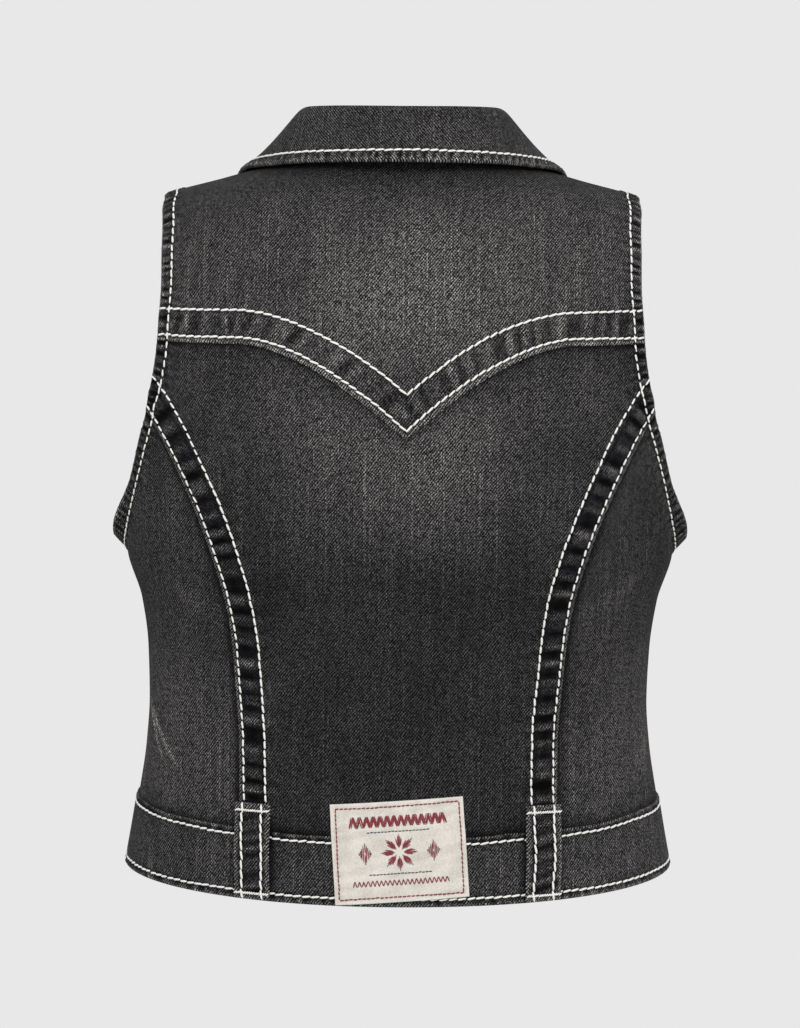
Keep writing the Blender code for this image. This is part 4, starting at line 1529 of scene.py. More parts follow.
    def stitch_line(self) -> Pair:
        """Draws the row of stitches along the edge.

        Returns:
            Points on the outer face, and the way out from it.
        """
        columns = np.flatnonzero(self.from_end[-1] > self.row_inset)
        places, ways = (
            np.array([read_line(self.row_inset, self.from_edge[::-1, c], grid[::-1, c]) for c in columns])
            for grid in (self.outer, self.normal)
        )
        return places, unit(ways)

    def end_lines(self) -> list[Pair]:
        """Draws the rows of stitches up the two front ends.

        Returns:
            For each row, points on the outer face and the way out from it.
        """
        lines, first = [], self.stand_rows + 2
        rows = [r for r in range(first, len(self.outer)) if self.from_edge[r, 0] > self.row_inset]
        for flip in (1, -1):
            near, outer, normal = (
                grid[:, ::flip][:, : self.columns] for grid in (self.from_end, self.outer, self.normal)
            )
            places, ways = (
                np.array([read_line(self.row_inset, near[r], grid[r]) for r in rows])
                for grid in (outer, normal)
            )
            lines.append((places, unit(ways)))
        return lines


# Topstitching


@dataclass(frozen=True)
class Thread:
    """How a row of stitches is sewn."""

    pitch: float = 5.0  # from stitch to stitch
    fill: float = 0.97  # share of the pitch that the thread shows
    radius: float = 0.66
    slant: float = 5.0  # turn of each stitch against its row, in degrees
    seat: float = 0.12  # middle of the thread above the cloth
    dip: float = 0.5  # how far its ends sink into the cloth
    wander: float = 0.22  # how far the row strays from its line


@dataclass
class Topstitch:
    """Rows of stitches of one thread colour, joined in one mesh."""

    name: str
    slot: str
    seed: int
    places: list[Array] = field(default_factory=list)
    wander_length: float = 14.0
    uneven_slant: float = 1.6  # in degrees
    uneven_length: float = 0.03
    uneven_place: float = 0.08
    flatness: float = 0.85

    @cached_property
    def stitch(self) -> Pair:
        """Shapes one stitch of unit length along X.

        Returns:
            Its points, and the corners of its faces.
        """
        shape = bmesh.new()
        bmesh.ops.create_uvsphere(shape, u_segments=6, v_segments=5, radius=1.0)
        bmesh.ops.triangulate(shape, faces=shape.faces[:])
        points = np.array([vertex.co[:] for vertex in shape.verts])
        faces = np.array([[vertex.index for vertex in face.verts] for face in shape.faces])
        shape.free()
        along = 0.5 * np.sign(points[:, 2]) * np.abs(points[:, 2]) ** 0.6
        return np.stack([along, points[:, 0], points[:, 1]], axis=-1), faces

    @cached_property
    def random(self) -> np.random.Generator:
        """Seeded unevenness of hand-fed sewing."""
        return np.random.default_rng(self.seed)

    def row(self, line: Array, ways: Array, thread: Thread) -> None:
        """Adds a row of stitches.

        Args:
            line: points along the row, on the cloth.
            ways: the way out from the cloth at each point.
            thread: how the row is sewn.
        """
        along = along_line(line)
        count = max(1, round(along[-1] / thread.pitch))
        pitch = along[-1] / count
        at = (np.arange(count) + 0.5) * pitch
        start, end = (
            read_line(np.clip(at + step * pitch, 0, along[-1]), along, line) for step in (-0.45, 0.45)
        )
        middle = (read_line(at, along, line) + (start + end) / 2) / 2
        out = unit(read_line(at, along, ways))
        forward = unit(end - start)
        beside = unit(np.cross(out, forward))
        turn = np.radians(thread.slant + self.random.normal(0, self.uneven_slant, count))[:, None]
        forward, beside = (
            forward * np.cos(turn) + beside * np.sin(turn),
            beside * np.cos(turn) - forward * np.sin(turn),
        )
        length = pitch * thread.fill * (1 + self.random.normal(0, self.uneven_length, count))
        stray = thread.wander * np.sin(at / self.wander_length + self.random.uniform(0, math.tau))
        shift = (stray + self.random.normal(0, self.uneven_place, count))[:, None]
        points, _ = self.stitch
        sunk = thread.dip * (2 * points[:, 0]) ** 2
        lift = thread.radius * self.flatness * points[:, 2] - sunk + thread.seat
        made = (
            (middle + beside * shift)[:, None, :]
            + forward[:, None, :] * (points[:, 0] * length[:, None])[..., None]
            + beside[:, None, :] * (thread.radius * points[:, 1])[None, :, None]
            + np.cross(forward, beside)[:, None, :] * lift[None, :, None]
        )
        self.places.append(made.reshape(-1, 3))

    def build(self, material: bpy.types.Material) -> bpy.types.Object:
        """Joins every stitch in one mesh.

        Args:
            material: the thread's finish.

        Returns:
            The object.
        """
        points, faces = self.stitch
        every = np.concatenate(self.places)
        starts = np.arange(0, len(every), len(points))
        loose = bpy.data.meshes.new(self.name)
        loose.from_pydata(every * MM, [], (faces[None] + starts[:, None, None]).reshape(-1, 3))
        shape = bmesh.new()
        shape.from_mesh(loose)
        bpy.data.meshes.remove(loose)
        bmesh.ops.recalc_face_normals(shape, faces=shape.faces[:])
        piece = put(self.name, smooth_mesh(shape, self.name, material))
        declare(piece)
        LOG.info("%s: %d stitches", self.name, len(starts))
        return piece


@dataclass
class Ornament:
    """Generic ornament in stitches: a rosette between two diamonds, two lines and two zigzag borders."""

    ground: LaidStrip
    red: Topstitch
    slate: Topstitch
    middle: tuple[float, float] = (36.25, 26.5)  # on the ground
    fine: tuple[float, ...] = (0.96, 0.34, 0.0, 0.1, 0.08, 0.0)  # a Thread's sizes after its pitch
    long_pitch: float = 9.0
    petal_pitch: float = 8.0
    line_pitch: float = 1.9
    zigzag_half: float = 26.0
    zigzags: tuple[tuple, ...] = (
        # level, height, teeth, strokes side by side
        (16.8, 6.6, 14, (-0.6, 0.0, 0.6)),
        (-16.0, 3.4, 22, (0.0,)),
    )
    line_half: float = 17.0
    line_level: float = 11.3
    petals: int = 8
    petal_strokes: tuple[float, ...] = (-1.5, -0.75, 0.0, 0.75, 1.5)
    diamond_x: float = 18.5
    diamond_strokes: tuple[float, ...] = (-3.2, -2.4, -1.6, -0.8, 0.0, 0.8, 1.6, 2.4, 3.2)

    def stroke(self, sewn: Topstitch, start: Array, end: Array, pitch: float) -> None:
        """Sews one straight stroke.

        Args:
            sewn: the thread's stitches.
            start: where the stroke begins, measured from the middle.
            end: where it ends.
            pitch: from stitch to stitch.
        """
        share = np.linspace(0, 1, 12)
        across, up = (m + s + (e - s) * share for m, s, e in zip(self.middle, start, end))
        sewn.row(*self.ground.seat(across, up), Thread(pitch, *self.fine))

    def sew(self) -> None:
        """Sews the borders, the lines, the rosette and the diamonds."""
        for level, tall, teeth, shifts in self.zigzags:
            run, low, high = self.zigzag_half / teeth, level - tall / 2, level + tall / 2
            for tooth in range(teeth):
                for shift in shifts:
                    x = 2 * run * tooth + shift - self.zigzag_half
                    self.stroke(self.red, (x, low), (x + run, high), self.long_pitch)
                    self.stroke(self.red, (x + run, high), (x + 2 * run, low), self.long_pitch)
        for level in (self.line_level, -self.line_level):
            self.stroke(self.slate, (-self.line_half, level), (self.line_half, level), self.line_pitch)
        for turn in math.tau * np.arange(self.petals) / self.petals:
            out = np.array([math.cos(turn), math.sin(turn)])
            beside = np.array([-math.sin(turn), math.cos(turn)])
            for lean in self.petal_strokes:
                start = out * (1.8 + abs(lean) * 1.2) + beside * lean * 0.6
                end = out * (10.4 - abs(lean) * 1.9) + beside * lean
                self.stroke(self.red, start, end, self.petal_pitch)
        for x in (-self.diamond_x, self.diamond_x):
            for lean in self.diamond_strokes:
                reach = 6.2 - abs(lean) * 1.7
                self.stroke(self.red, (x + lean, -reach), (x + lean, reach), self.petal_pitch)


# Buttons


@dataclass
class Button:
    """Metal shank button, turned from its profile."""

    cut: Cut
    number: int
    height: float
    band_wall: float = 1.8
    segments: int = 40
    crisp: float = 40.0  # angle in degrees above which an edge stays crisp
    profile: Rows = (
        # radius, rise, how rubbed the plating is, its low values in the groove and under the rim being
        # painted shade
        (0.0, 0.0, 0.2), (4.0, 0.0, 0.2), (4.0, 1.2, 0.0), (7.4, 1.2, 0.1), (8.2, 1.5, 0.5),
        (8.5, 2.1, 0.7), (8.4, 2.8, 0.9), (7.8, 3.3, 1.0), (7.0, 3.5, 0.9), (6.5, 3.2, 0.4),
        (6.1, 2.5, 0.0), (5.3, 2.4, 0.0), (4.6, 2.8, 0.5), (3.4, 3.1, 0.7), (1.6, 3.3, 0.6),
        (0.0, 3.35, 0.6),
    )

    def seat(self) -> Pair:
        """Finds the button's place on the band.

        Returns:
            The foot of its axis, and its three directions as columns.
        """
        figure, across = self.cut.figure, np.array([1.0, 0.0, 0.0])
        spot = figure.on(0.0, self.height, Side.FRONT)
        lie = self.cut.lying_height(spot, Side.FRONT) + self.band_wall + self.cut.seam_gap
        out = figure.outward(spot)[0]
        foot = figure.lifted(spot, lie + self.cut.flare(spot[None], Side.FRONT)[0])
        return foot, np.stack([across, np.cross(out, across), out], axis=1)

    def build(self, material: bpy.types.Material) -> bpy.types.Object:
        """Turns the button and seats it on the band.

        Args:
            material: its finish.

        Returns:
            The object.
        """
        name = f"button_{self.number}"
        shape = bmesh.new()
        rubbed = shape.verts.layers.float.new("rubbed")
        line = [shape.verts.new((radius, 0, rise)) for radius, rise, _ in self.profile]
        for vertex, (*_, share) in zip(line, self.profile):
            vertex[rubbed] = share
        edges = [shape.edges.new(pair) for pair in zip(line, line[1:])]
        turned = {"cent": (0, 0, 0), "axis": (0, 0, 1), "angle": math.tau, "steps": self.segments}
        bmesh.ops.spin(shape, geom=line + edges, use_merge=True, **turned)
        bmesh.ops.remove_doubles(shape, verts=shape.verts[:], dist=0.01)
        foot, directions = self.seat()
        for vertex in shape.verts:
            vertex.co = (directions @ np.array(vertex.co) + foot) * MM
        bmesh.ops.recalc_face_normals(shape, faces=shape.faces[:])
        piece = put(f"{name}_turned", smooth_mesh(shape, name, material, self.crisp))
        declare(piece, name)
        LOG.info("%s", piece.name)
        return piece


# Finishes


@dataclass(frozen=True)
class Finish:
    """What every finish has: the name of the real material, and a pattern that feeds the shader."""

    name: str

    def pattern(self, tree: bpy.types.NodeTree) -> tuple[dict, dict]:
        """Links and constant values for the shader's inputs."""
        raise NotImplementedError

    def material(self) -> bpy.types.Material:
        """Builds the material.

        Returns:
            The material.
        """
        made = bpy.data.materials.new(self.name)
        made.use_nodes = True
        tree = made.node_tree
        wire(tree, tree.nodes["Principled BSDF"], *self.pattern(tree))
        return made


@dataclass(frozen=True)
class WashedDenim(Finish):
    """Black cotton denim, stone washed: a matt diagonal twill with pale weft specks and long slubs."""

    twill_mm: float = 1.3  # really about 0.6, drawn coarser to show
    twill_lines: tuple[tuple[float, float], ...] = (
        # angle from the warp in degrees, change as a share of the tone
        (52.0, 0.75), (-47.0, 0.3),
    )
    rubbed_twill: float = 3.0  # how much more the twill shows where the cloth is rubbed
    sway_mm: float = 6.25  # places where the twill lines bend a little
    sway: float = 5.0
    broad: tuple[tuple[float, float, float, float], ...] = (
        # mm across the warp, mm along it, detail, change of lightness
        (7.0, 90.0, 2.0, 0.03),  # streaks of uneven wash
        (55.0, 48.0, 2.0, 0.05),  # clouds of wash
    )
    darkest: float = 0.008
    crossing_mm: tuple[float, float] = (0.6, 0.6)  # threads' crossings, drawn coarser than they are
    crossing_amount: float = 1.6  # as a share of the tone
    pin_mm: tuple[float, float] = (0.45, 130.0)  # pale warp threads, across and along
    pin_range: tuple[float, float] = (0.55, 0.75)  # of the noise that picks them
    pin_amount: float = 1.0
    least: float = 0.1  # no speck is darker than this share of the tone
    shades: tuple[tuple[float, str], ...] = (
        # place on the ramp as an sRGB share, colour
        (0.00, "#040405"),
        (0.10, "#19191b"),
        (0.20, "#343334"),
        (0.30, "#4e4c4c"),
        (0.40, "#686563"),
        (0.55, "#8f8c87"),
        (0.80, "#cdc9c2"),
    )
    bump_mm: float = 0.09

    def pattern(self, tree: bpy.types.NodeTree) -> tuple[dict, dict]:
        """Builds the twill from the cloth's own grain, wash and wear, which carry some painted light and
        shade.

        Args:
            tree: the material's node tree.

        Returns:
            Links and constant values for the shader's inputs.
        """
        node = partial(add_node, tree)
        grain = node("UVMap", uv_map="grain")
        wash, wear_and_painted_shade = (
            node("Attribute", output="Fac", attribute_name=name) for name in ("wash", "wear_and_painted_shade")
        )
        *broad, cells, pins = (
            node("VectorMath", {0: grain}, {1: (1 / (x * MM), 1 / (y * MM), 0)}, operation="MULTIPLY")
            for x, y in (*(row[:2] for row in self.broad), self.crossing_mm, self.pin_mm)
        )
        tone = node("Math", {0: wash, 1: wear_and_painted_shade}, operation="ADD")
        for place, (*_, detail, amount) in zip(broad, self.broad):
            values = {"Scale": 1.0, "Detail": detail}
            noise = node("TexNoise", {"Vector": place}, values, noise_dimensions="2D")
            tone = node("Math", {0: noise, 2: tone}, {1: amount}, operation="MULTIPLY_ADD")
        middle = -sum(row[3] for row in self.broad) / 2
        for operation, value in (("ADD", middle), ("MAXIMUM", self.darkest)):
            tone = node("Math", {0: tone}, {1: value}, operation=operation)
        cells = node("VectorMath", {0: cells}, operation="FLOOR")
        chance = node("TexWhiteNoise", {"Vector": cells}, output="Value", noise_dimensions="2D")
        values = {1: self.crossing_amount, 2: 1 - self.crossing_amount / 2}
        relief = node("Math", {0: chance}, values, operation="MULTIPLY_ADD")
        values = {"Scale": 1.0, "Detail": 1.0}
        pins = node("TexNoise", {"Vector": pins}, values, noise_dimensions="2D")
        values = {"From Min": self.pin_range[0], "From Max": self.pin_range[1], "To Max": self.pin_amount}
        pins = node("MapRange", {"Value": pins}, values)
        relief = node("Math", {0: pins, 1: chance, 2: relief}, operation="MULTIPLY_ADD")
        values = {"Scale": 1 / (self.sway_mm * MM), "Detail": 1.0}
        sway = node("TexNoise", {"Vector": grain}, values, noise_dimensions="2D")
        for degrees, amount in self.twill_lines:
            angle, turns = math.radians(degrees), math.tau / (self.twill_mm * MM)
            lines = (math.sin(angle) * turns, math.cos(angle) * turns, 0)
            phase = node("VectorMath", {0: grain}, {1: lines}, output="Value", operation="DOT_PRODUCT")
            phase = node("Math", {0: sway, 2: phase}, {1: self.sway}, operation="MULTIPLY_ADD")
            twill = node("Math", {0: phase}, operation="SINE")
            values = {1: self.rubbed_twill * amount, 2: amount}
            rubbed = node("Math", {0: wear_and_painted_shade}, values, operation="MULTIPLY_ADD")
            shown = node("Math", {0: rubbed}, {1: amount}, operation="MAXIMUM")
            relief = node("Math", {0: twill, 1: shown, 2: relief}, operation="MULTIPLY_ADD")
        share = node("Math", {0: relief}, {1: self.least}, operation="MAXIMUM")
        level = node("Math", {0: tone, 1: share}, operation="MULTIPLY")
        colour = node("ValToRGB", {"Fac": level}, stops=self.shades)
        bump = node("Bump", {"Height": relief}, {"Strength": 0.6, "Distance": self.bump_mm * MM})
        matt = {"Roughness": 0.92, "Specular IOR Level": 0.02, "Sheen Weight": 0.015, "Sheen Roughness": 0.5}
        return {"Base Color": colour, "Normal": bump}, matt


@dataclass(frozen=True)
class SpunThread(Finish):
    """Spun cotton thread: soft, matt and a little uneven where its plies turn."""

    light: str
    dark: str
    ply_mm: float = 0.5
    bump_mm: float = 0.2

    def pattern(self, tree: bpy.types.NodeTree) -> tuple[dict, dict]:
        """Builds the thread from its plies.

        Args:
            tree: the material's node tree.

        Returns:
            Links and constant values for the shader's inputs.
        """
        node = partial(add_node, tree)
        place = node("TexCoord", output="Object")
        values = {"Scale": 1 / (self.ply_mm * MM), "Detail": 2.0}
        plies = node("TexNoise", {"Vector": place}, values)
        colour = node("ValToRGB", {"Fac": plies}, stops=((0.32, self.dark), (0.58, self.light)))
        bump = node("Bump", {"Height": plies}, {"Strength": 0.5, "Distance": self.bump_mm * MM})
        return {"Base Color": colour, "Normal": bump}, {"Roughness": 0.75, "Sheen Weight": 0.15}


@dataclass(frozen=True)
class CreamTwill(Finish):
    """Unbleached cotton twill: warm off-white, with fine threads both ways and a rim rubbed lighter at its
    edge, with painted shade along its stitches.
    """

    thread_mm: float = 0.8  # really about 0.4, drawn coarser to show
    thread_amount: float = 0.07
    thread_lean: float = 0.2
    stains: tuple[tuple[float, float], ...] = (
        # mm, change of lightness
        (11.0, 0.35), (1.4, 0.3),
    )
    dark: str = "#9c978e"
    light: str = "#cfcac1"
    bump_mm: float = 0.2

    def pattern(self, tree: bpy.types.NodeTree) -> tuple[dict, dict]:
        """Builds the twill from crossed threads and soft stains.

        Args:
            tree: the material's node tree.

        Returns:
            Links and constant values for the shader's inputs.
        """
        node = partial(add_node, tree)
        grain = node("UVMap", uv_map="grain")
        # starts from the strip's rubbed edges and the painted shade along its stitches
        weave = node("Attribute", output="Fac", attribute_name="wear_and_painted_shade")
        turns = math.tau / (self.thread_mm * MM)
        lean = self.thread_lean * turns
        for way in ((turns, lean, 0), (-lean, turns, 0)):
            phase = node("VectorMath", {0: grain}, {1: way}, output="Value", operation="DOT_PRODUCT")
            threads = node("Math", {0: phase}, operation="SINE")
            links = {0: threads, 2: weave}
            weave = node("Math", links, {1: self.thread_amount}, operation="MULTIPLY_ADD")
        level = weave
        for size_mm, amount in self.stains:
            values = {"Scale": 1 / (size_mm * MM), "Detail": 2.0}
            stain = node("TexNoise", {"Vector": grain}, values, noise_dimensions="2D")
            level = node("Math", {0: stain, 2: level}, {1: amount}, operation="MULTIPLY_ADD")
        colour = node("ValToRGB", {"Fac": level}, stops=((0.0, self.dark), (0.5, self.light)))
        bump = node("Bump", {"Height": weave}, {"Strength": 0.4, "Distance": self.bump_mm * MM})
        return {"Base Color": colour, "Normal": bump}, {"Roughness": 0.9, "Sheen Weight": 0.1}


@dataclass(frozen=True)
class PressedGunmetal(Finish):
    """Pressed brass plated in gunmetal: dark and shiny, with fine scuffs."""

    scuff_mm: float = 1.6
    scuff_amount: float = 0.5
    dark: str = "#2b2b2f"
    light: str = "#a0a0a4"

    def pattern(self, tree: bpy.types.NodeTree) -> tuple[dict, dict]:
        """Builds the plating from scuffs in colour and roughness.

        Args:
            tree: the material's node tree.

        Returns:
            Links and constant values for the shader's inputs.
        """
        node = partial(add_node, tree)
        place = node("TexCoord", output="Object")
        values = {"Scale": 1 / (self.scuff_mm * MM), "Detail": 4.0}
        scuffs = node("TexNoise", {"Vector": place}, values)
        # lighter where the plating is rubbed on raised parts, darker in the groove as painted shade
        rubbed = node("Attribute", output="Fac", attribute_name="rubbed")
        links = {0: scuffs, 2: rubbed}
        level = node("Math", links, {1: self.scuff_amount}, operation="MULTIPLY_ADD")
        colour = node("ValToRGB", {"Fac": level}, stops=((0.15, self.dark), (1.0, self.light)))
        rough = node("MapRange", {"Value": scuffs}, {"To Min": 0.25, "To Max": 0.5})
        return {"Base Color": colour, "Roughness": rough}, {"Metallic": 1.0}


@dataclass(frozen=True)
class PaleFloor(Finish):
    """Studio paper that glows as pale as the air, so that no edge shows."""

    pale: str

    def pattern(self, tree: bpy.types.NodeTree) -> tuple[dict, dict]:
        """Plain glow, with no reflection."""
        glow = {"Emission Color": linear(self.pale), "Emission Strength": 1.0}
        return {}, {"Base Color": (0, 0, 0, 1), "Specular IOR Level": 0, **glow}


# The sewn vest


@dataclass
class Vest:
    """All the vest's pieces and its sewing, in the order in which a maker puts them together."""

    cut: Cut = field(default_factory=Cut)
    front_sizes: tuple[tuple[float, float, float], ...] = ((0.24, 0.36, 0.0678), (0.21, 0.36, 0.0591))
    band_width: float = 36.0
    band_neck_x: float = 18.0  # the band ends under the neckline there
    loop_height: float = 51.6
    loop_level: float = -376.4
    loop_bars: tuple[float, float] = (3.4, 47.8)
    patch_size: tuple[float, float] = (72.5, 53.8)
    button_heights: tuple[float, ...] = (-84.0, -143.0, -202.0, -261.0, -320.0, -381.0)
    row_margin: float = 0.4  # rows stop this far from an edge
    row_half: float = 160.0
    row_top: float = -102.0
    dashes: Thread = Thread()
    rope: Thread = Thread(fill=1.1, slant=8.0, radius=0.68, dip=0.4, seat=0.2)
    fine: Thread = Thread(pitch=2.4, fill=0.98, radius=0.42, slant=3.0, dip=0.2, seat=0.1)
    bar: Thread = Thread(pitch=1.3, fill=1.7, radius=0.45, slant=34.0, dip=0.2, seat=0.5)

    def __post_init__(self) -> None:
        """Makes the finishes and the collar's line, which has painted shade on what it lies on."""
        self.denim = WashedDenim("washed_black_denim").material()
        self.cream = SpunThread("cream_cotton_thread", light="#e2e1dc", dark="#c2c0b9").material()
        self.red = SpunThread("red_cotton_thread", light="#7d1f2a", dark="#59161f").material()
        self.slate = SpunThread("slate_cotton_thread", light="#353841", dark="#22252c").material()
        self.twill = CreamTwill("unbleached_cotton_twill").material()
        self.metal = PressedGunmetal("pressed_gunmetal").material()
        self.seam = Topstitch("topstitching", "cream_twill", seed=7)
        self.collar = Collar(self.cut)
        self.collar_edge = SeamLine(self.collar.middle()[-1])

    def build(self) -> None:
        """Builds every piece."""
        self.build_back()
        self.build_fronts()
        self.build_waist()
        self.build_loops()
        self.build_collar()
        self.build_patch()
        self.sew_back()
        self.sew_armholes()
        self.seam.build(self.cream)
        for number, height in enumerate(self.button_heights, 1):
            Button(self.cut, number, height).build(self.metal)

    def build_back(self) -> None:
        """Yoke, back panel and side-back panels."""
        BackYoke(self.cut, shaded_by=self.collar_edge).build(self.denim)
        BackPanel(self.cut).build(self.denim)
        for number, hand in enumerate(Hand, 1):
            spots = ((hand.value * 120.0, -325.0, 36.0, 58.0, 0.045),)
            name = f"side_back_{hand.name.lower()}"
            SideBack(self.cut, name, spots=spots, seed=0.4 * number, hand=hand).build(self.denim)

    def build_fronts(self) -> None:
        """Two fronts and the button band."""
        for number, (hand, (width, length, area)) in enumerate(zip(Hand, self.front_sizes), 1):
            spots = ((hand.value * 60.0, -130.0, 60.0, 60.0, 0.05),)
            FrontPanel(
                self.cut, f"front_{hand.name.lower()}", flat=(width, length), area=area, spots=spots,
                seed=1.3 * number, hand=hand, shaded_by=self.collar_edge,
            ).build(self.denim)
        low = self.cut.hem_level
        high = float(self.cut.neck_height(np.array(self.band_neck_x), Side.FRONT)) - 1.0
        band = LaidStrip(
            self.cut, "front_band", flat=(0.036, 0.35), area=0.0126, side=Side.FRONT, seed=3.1,
            centre=(0.0, (low + high) / 2), size=(self.band_width, high - low), wall_size=1.8,
            stitch_inset=5.0,
        )
        band.build(self.denim)
        up = np.linspace(1.0, high - low - 1.0, 200)
        for across in (band.stitch_inset, self.band_width - band.stitch_inset):
            self.seam.row(*band.seat(across + 0 * up, up), self.dashes)

    def build_waist(self) -> None:
        """Waistband in three lengths."""
        cut, gap = self.cut, self.cut.seam_gap / 2
        half = float(cut.figure.at(np.array(cut.hem_level))[0])
        lengths = (
            # node, side, ends, columns, width and area of the cut
            ("waistband_back", Side.BACK, (-half, half), 190, 0.42, 0.0170),
            ("waistband_front_left", Side.FRONT, (cut.front_edge_x + gap, half), 100, 0.24, 0.0096),
            ("waistband_front_right", Side.FRONT, (-half, cut.front_edge_x - gap), 90, 0.21, 0.0084),
        )
        for number, (node, side, ends, columns, width, area) in enumerate(lengths, 1):
            band = Waistband(
                cut, node, flat=(width, 0.042), area=area, side=side, seed=2.3 * number, edges=ends,
                columns=columns,
            )
            band.build(self.denim)
            for line in band.edge_lines((band.top_band.rows[0], band.hem_band.rows[0])):
                lift = cut.waist_rise - band.top_band.groove + cut.flare(line, side)
                self.seam.row(cut.figure.lifted(line, lift), cut.figure.outward(line)[0], self.rope)

    def build_loops(self) -> None:
        """Two belt loops, each with two rows and a bar at each end."""
        wide, tall = self.cut.loop_width, self.loop_height
        for number, hand in enumerate(Hand, 1):
            loop = LaidStrip(
                self.cut, f"belt_loop_{hand.name.lower()}", flat=(0.0195, 0.0520), area=0.00100, tone=0.12,
                slot="seam_denim", seed=5.7 * number,
                centre=(hand.value * self.cut.loop_middle, self.loop_level), size=(wide, tall), wall_size=2.2,
                over_waistband=False, bow=1.6, step=1.1, stitch_inset=4.3, pucker=0.3, contrast=0.075,
            )
            loop.build(self.denim)
            up = np.linspace(0.2, tall - 0.2, 60)
            for row in (loop.stitch_inset, wide - loop.stitch_inset):
                self.seam.row(*loop.seat(row + 0.25 * np.sin(up / 5), up), self.rope)
            across = np.linspace(self.row_margin, wide - self.row_margin, 40)
            for bar in self.loop_bars:
                self.seam.row(*loop.seat(across, bar + 0 * across), self.bar)

    def build_collar(self) -> None:
        """Collar with its stitched edge."""
        self.collar.build(self.denim)
        for line in (self.collar.stitch_line(), *self.collar.end_lines()):
            self.seam.row(*line, self.rope)

    def build_patch(self) -> None:
        """Cream patch, a little askew, with a stitched border and a plain ornament."""
        patch = LaidStrip(
            self.cut, "patch", flat=(0.0725, 0.0538), area=0.0039, tone=0.8, slot="cream_twill", seed=6.2,
            centre=(-0.9, -373.4), size=self.patch_size, tilt=math.radians(4.0), wall_size=1.0, step=1.4,
            stitch_inset=2.7, pucker=0.18, contrast=0.06,
        )
        patch.build(self.twill)
        red = Topstitch("patch_stitches_red", "cream_twill", seed=11)
        slate = Topstitch("patch_stitches_slate", "cream_twill", seed=12)
        low = patch.stitch_inset
        right, high = (size - low for size in self.patch_size)
        corners = np.array([(low, low), (right, low), (right, high), (low, high), (low, low)])
        share = np.linspace(0, 1, 80)[:, None]
        for corner, end in zip(corners, corners[1:]):
            red.row(*patch.seat(*(corner * (1 - share) + end * share).T), self.fine)
        Ornament(patch, red, slate).sew()
        red.build(self.red)
        slate.build(self.slate)

    def sew_line(self, line: Array, thread: Thread) -> None:
        """Sews a row anywhere on the back."""
        height = self.cut.back_rise(line) + self.cut.flare(line, Side.BACK)
        self.seam.row(self.cut.figure.lifted(line, height), self.cut.figure.outward(line)[0], thread)

    def sew_back(self) -> None:
        """Two rows on the yoke seam, which meet at its point, and two on each curved seam."""
        cut, figure = self.cut, self.cut.figure
        for row in cut.yoke_band.rows:
            for hand in Hand:
                x = np.linspace(self.row_half * hand.value, cut.yoke_point_x, 450)
                z = cut.yoke_height(x) + row * cut.yoke_stretch(x)
                keep = np.abs(x) < cut.armhole_x(z, Side.BACK) - self.row_margin
                self.sew_line(figure.on(x[keep], z[keep], Side.BACK), self.rope)
        z = np.linspace(cut.waist_top_level - cut.waist_top_dip + 1.5, self.row_top, 700)
        lean = np.gradient(cut.princess_x(z), z)
        for row in cut.princess_band.rows:
            away = cut.princess_x(z) - row * np.sqrt(1 + lean**2)
            keep = away < cut.armhole_x(z, Side.BACK) - self.row_margin
            last = len(z) if keep.all() else int(np.argmin(keep))
            for hand in Hand:
                self.sew_line(figure.on(hand.value * away[:last], z[:last], Side.BACK), self.dashes)

    def sew_armholes(self) -> None:
        """One row round each armhole, on the back and on the front."""
        cut, figure = self.cut, self.cut.figure
        for side in Side:
            edge = cut.armhole_edge(side)
            into = unit(np.cross(figure.outward(edge)[0], np.gradient(edge, axis=0))) * side.value
            line = figure.settled(edge + into * cut.hem_band.rows[0])
            line = line[side.value * line[:, 1] > 0.3]
            for hand in Hand:
                own = line * np.array([hand.value, 1.0, 1.0])
                rise = cut.back_rise(own) if side is Side.BACK else cut.hem_shape(own, side)[0]
                height = rise + cut.flare(own, side)
                self.seam.row(figure.lifted(own, height), figure.outward(own)[0], self.dashes)


# Studio


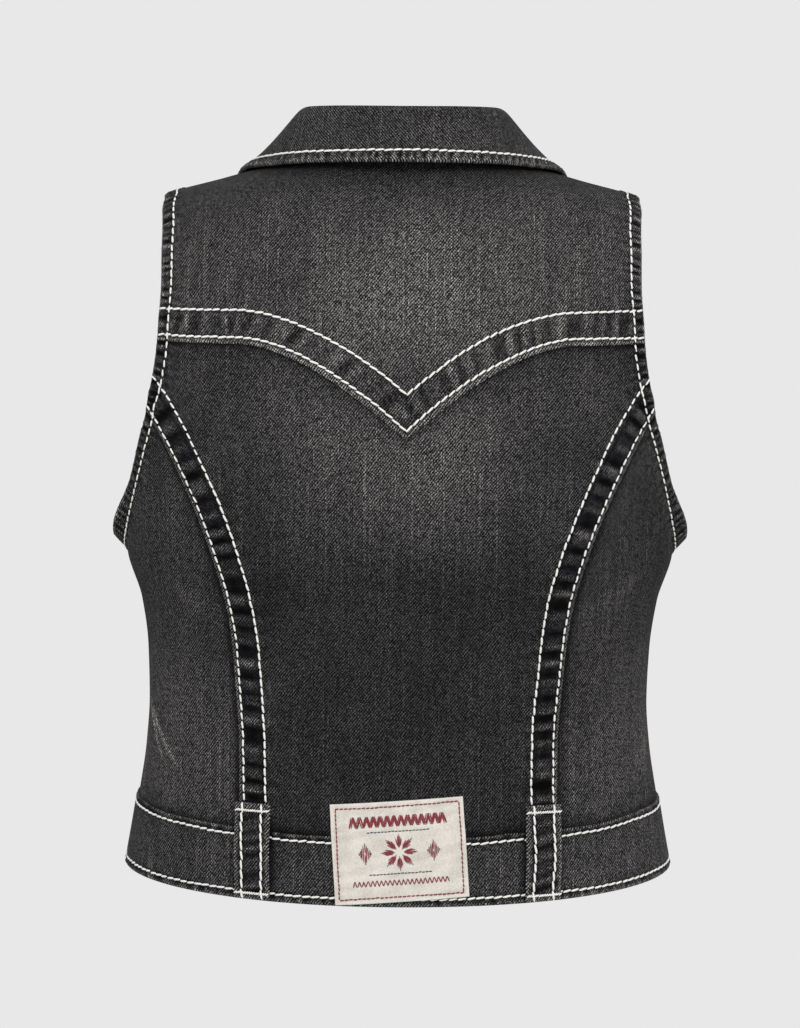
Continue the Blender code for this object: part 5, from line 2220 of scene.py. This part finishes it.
@dataclass
class Studio:
    """Plain pale floor and air, one large soft light and the camera behind the wearer's back."""

    distance: float = 1.7  # metres from the camera to the aim
    aim: tuple[float, float, float] = (0.0, 0.0, -0.2)
    elevation: float = math.radians(6.5)
    roll: float = math.radians(0.4)
    mm_per_pixel: float = 0.57
    frame_height: int = 1028
    sensor: float = 36.0
    pale: str = "#e8e8e8"
    floor_height: float = -0.9
    floor_half: float = 3.0
    key_watts: float = 45.0
    key_size: float = 1.2
    key_place: tuple[float, float, float] = (-0.1, 2.1, 1.25)

    def build(self) -> None:
        """Makes the camera, the light, the air and the floor."""
        scene = bpy.context.scene
        scene.view_settings.view_transform = "Standard"
        scene.camera = self.camera()
        self.light()
        world = bpy.data.worlds.new("pale_air")
        world.use_nodes = True
        world.node_tree.nodes["Background"].inputs["Color"].default_value = linear(self.pale)
        scene.world = world
        self.floor()

    def camera(self) -> bpy.types.Object:
        """Sets the camera at the photograph's viewing angle.

        Returns:
            The camera.
        """
        data = bpy.data.cameras.new("camera")
        data.sensor_width = self.sensor
        data.lens = self.distance / MM / self.mm_per_pixel * self.sensor / self.frame_height
        high, low = math.sin(self.elevation), math.cos(self.elevation)
        right, up, back = np.array([-1.0, 0, 0]), np.array([0, -high, low]), np.array([0, low, high])
        turned_right = right * math.cos(self.roll) + up * math.sin(self.roll)
        turned_up = up * math.cos(self.roll) - right * math.sin(self.roll)
        matrix = np.eye(4)
        matrix[:3, :3] = np.stack([turned_right, turned_up, back], axis=1)
        matrix[:3, 3] = np.array(self.aim) + back * self.distance
        made = put("camera", data)
        made.matrix_world = matrix.T
        return made

    def light(self) -> None:
        """Large soft light above the camera."""
        data = bpy.data.lights.new("soft_key", "AREA")
        data.energy = self.key_watts
        data.size = self.key_size
        made = put("soft_key", data)
        made.location = self.key_place
        made.rotation_euler = (made.location - Vector(self.aim)).to_track_quat("Z", "Y").to_euler()

    def floor(self) -> None:
        """Pale floor."""
        shape = bmesh.new()
        bmesh.ops.create_grid(shape, x_segments=1, y_segments=1, size=self.floor_half)
        bmesh.ops.translate(shape, verts=shape.verts[:], vec=(0, 0, self.floor_height))
        material = PaleFloor("pale_floor", self.pale).material()
        put("floor", smooth_mesh(shape, "floor", material))


def main() -> None:
    """Builds the vest and the studio."""
    logging.basicConfig(level=logging.INFO, format="%(name)s: %(message)s")
    Vest().build()
    Studio().build()


if __name__ == "__main__":
    main()
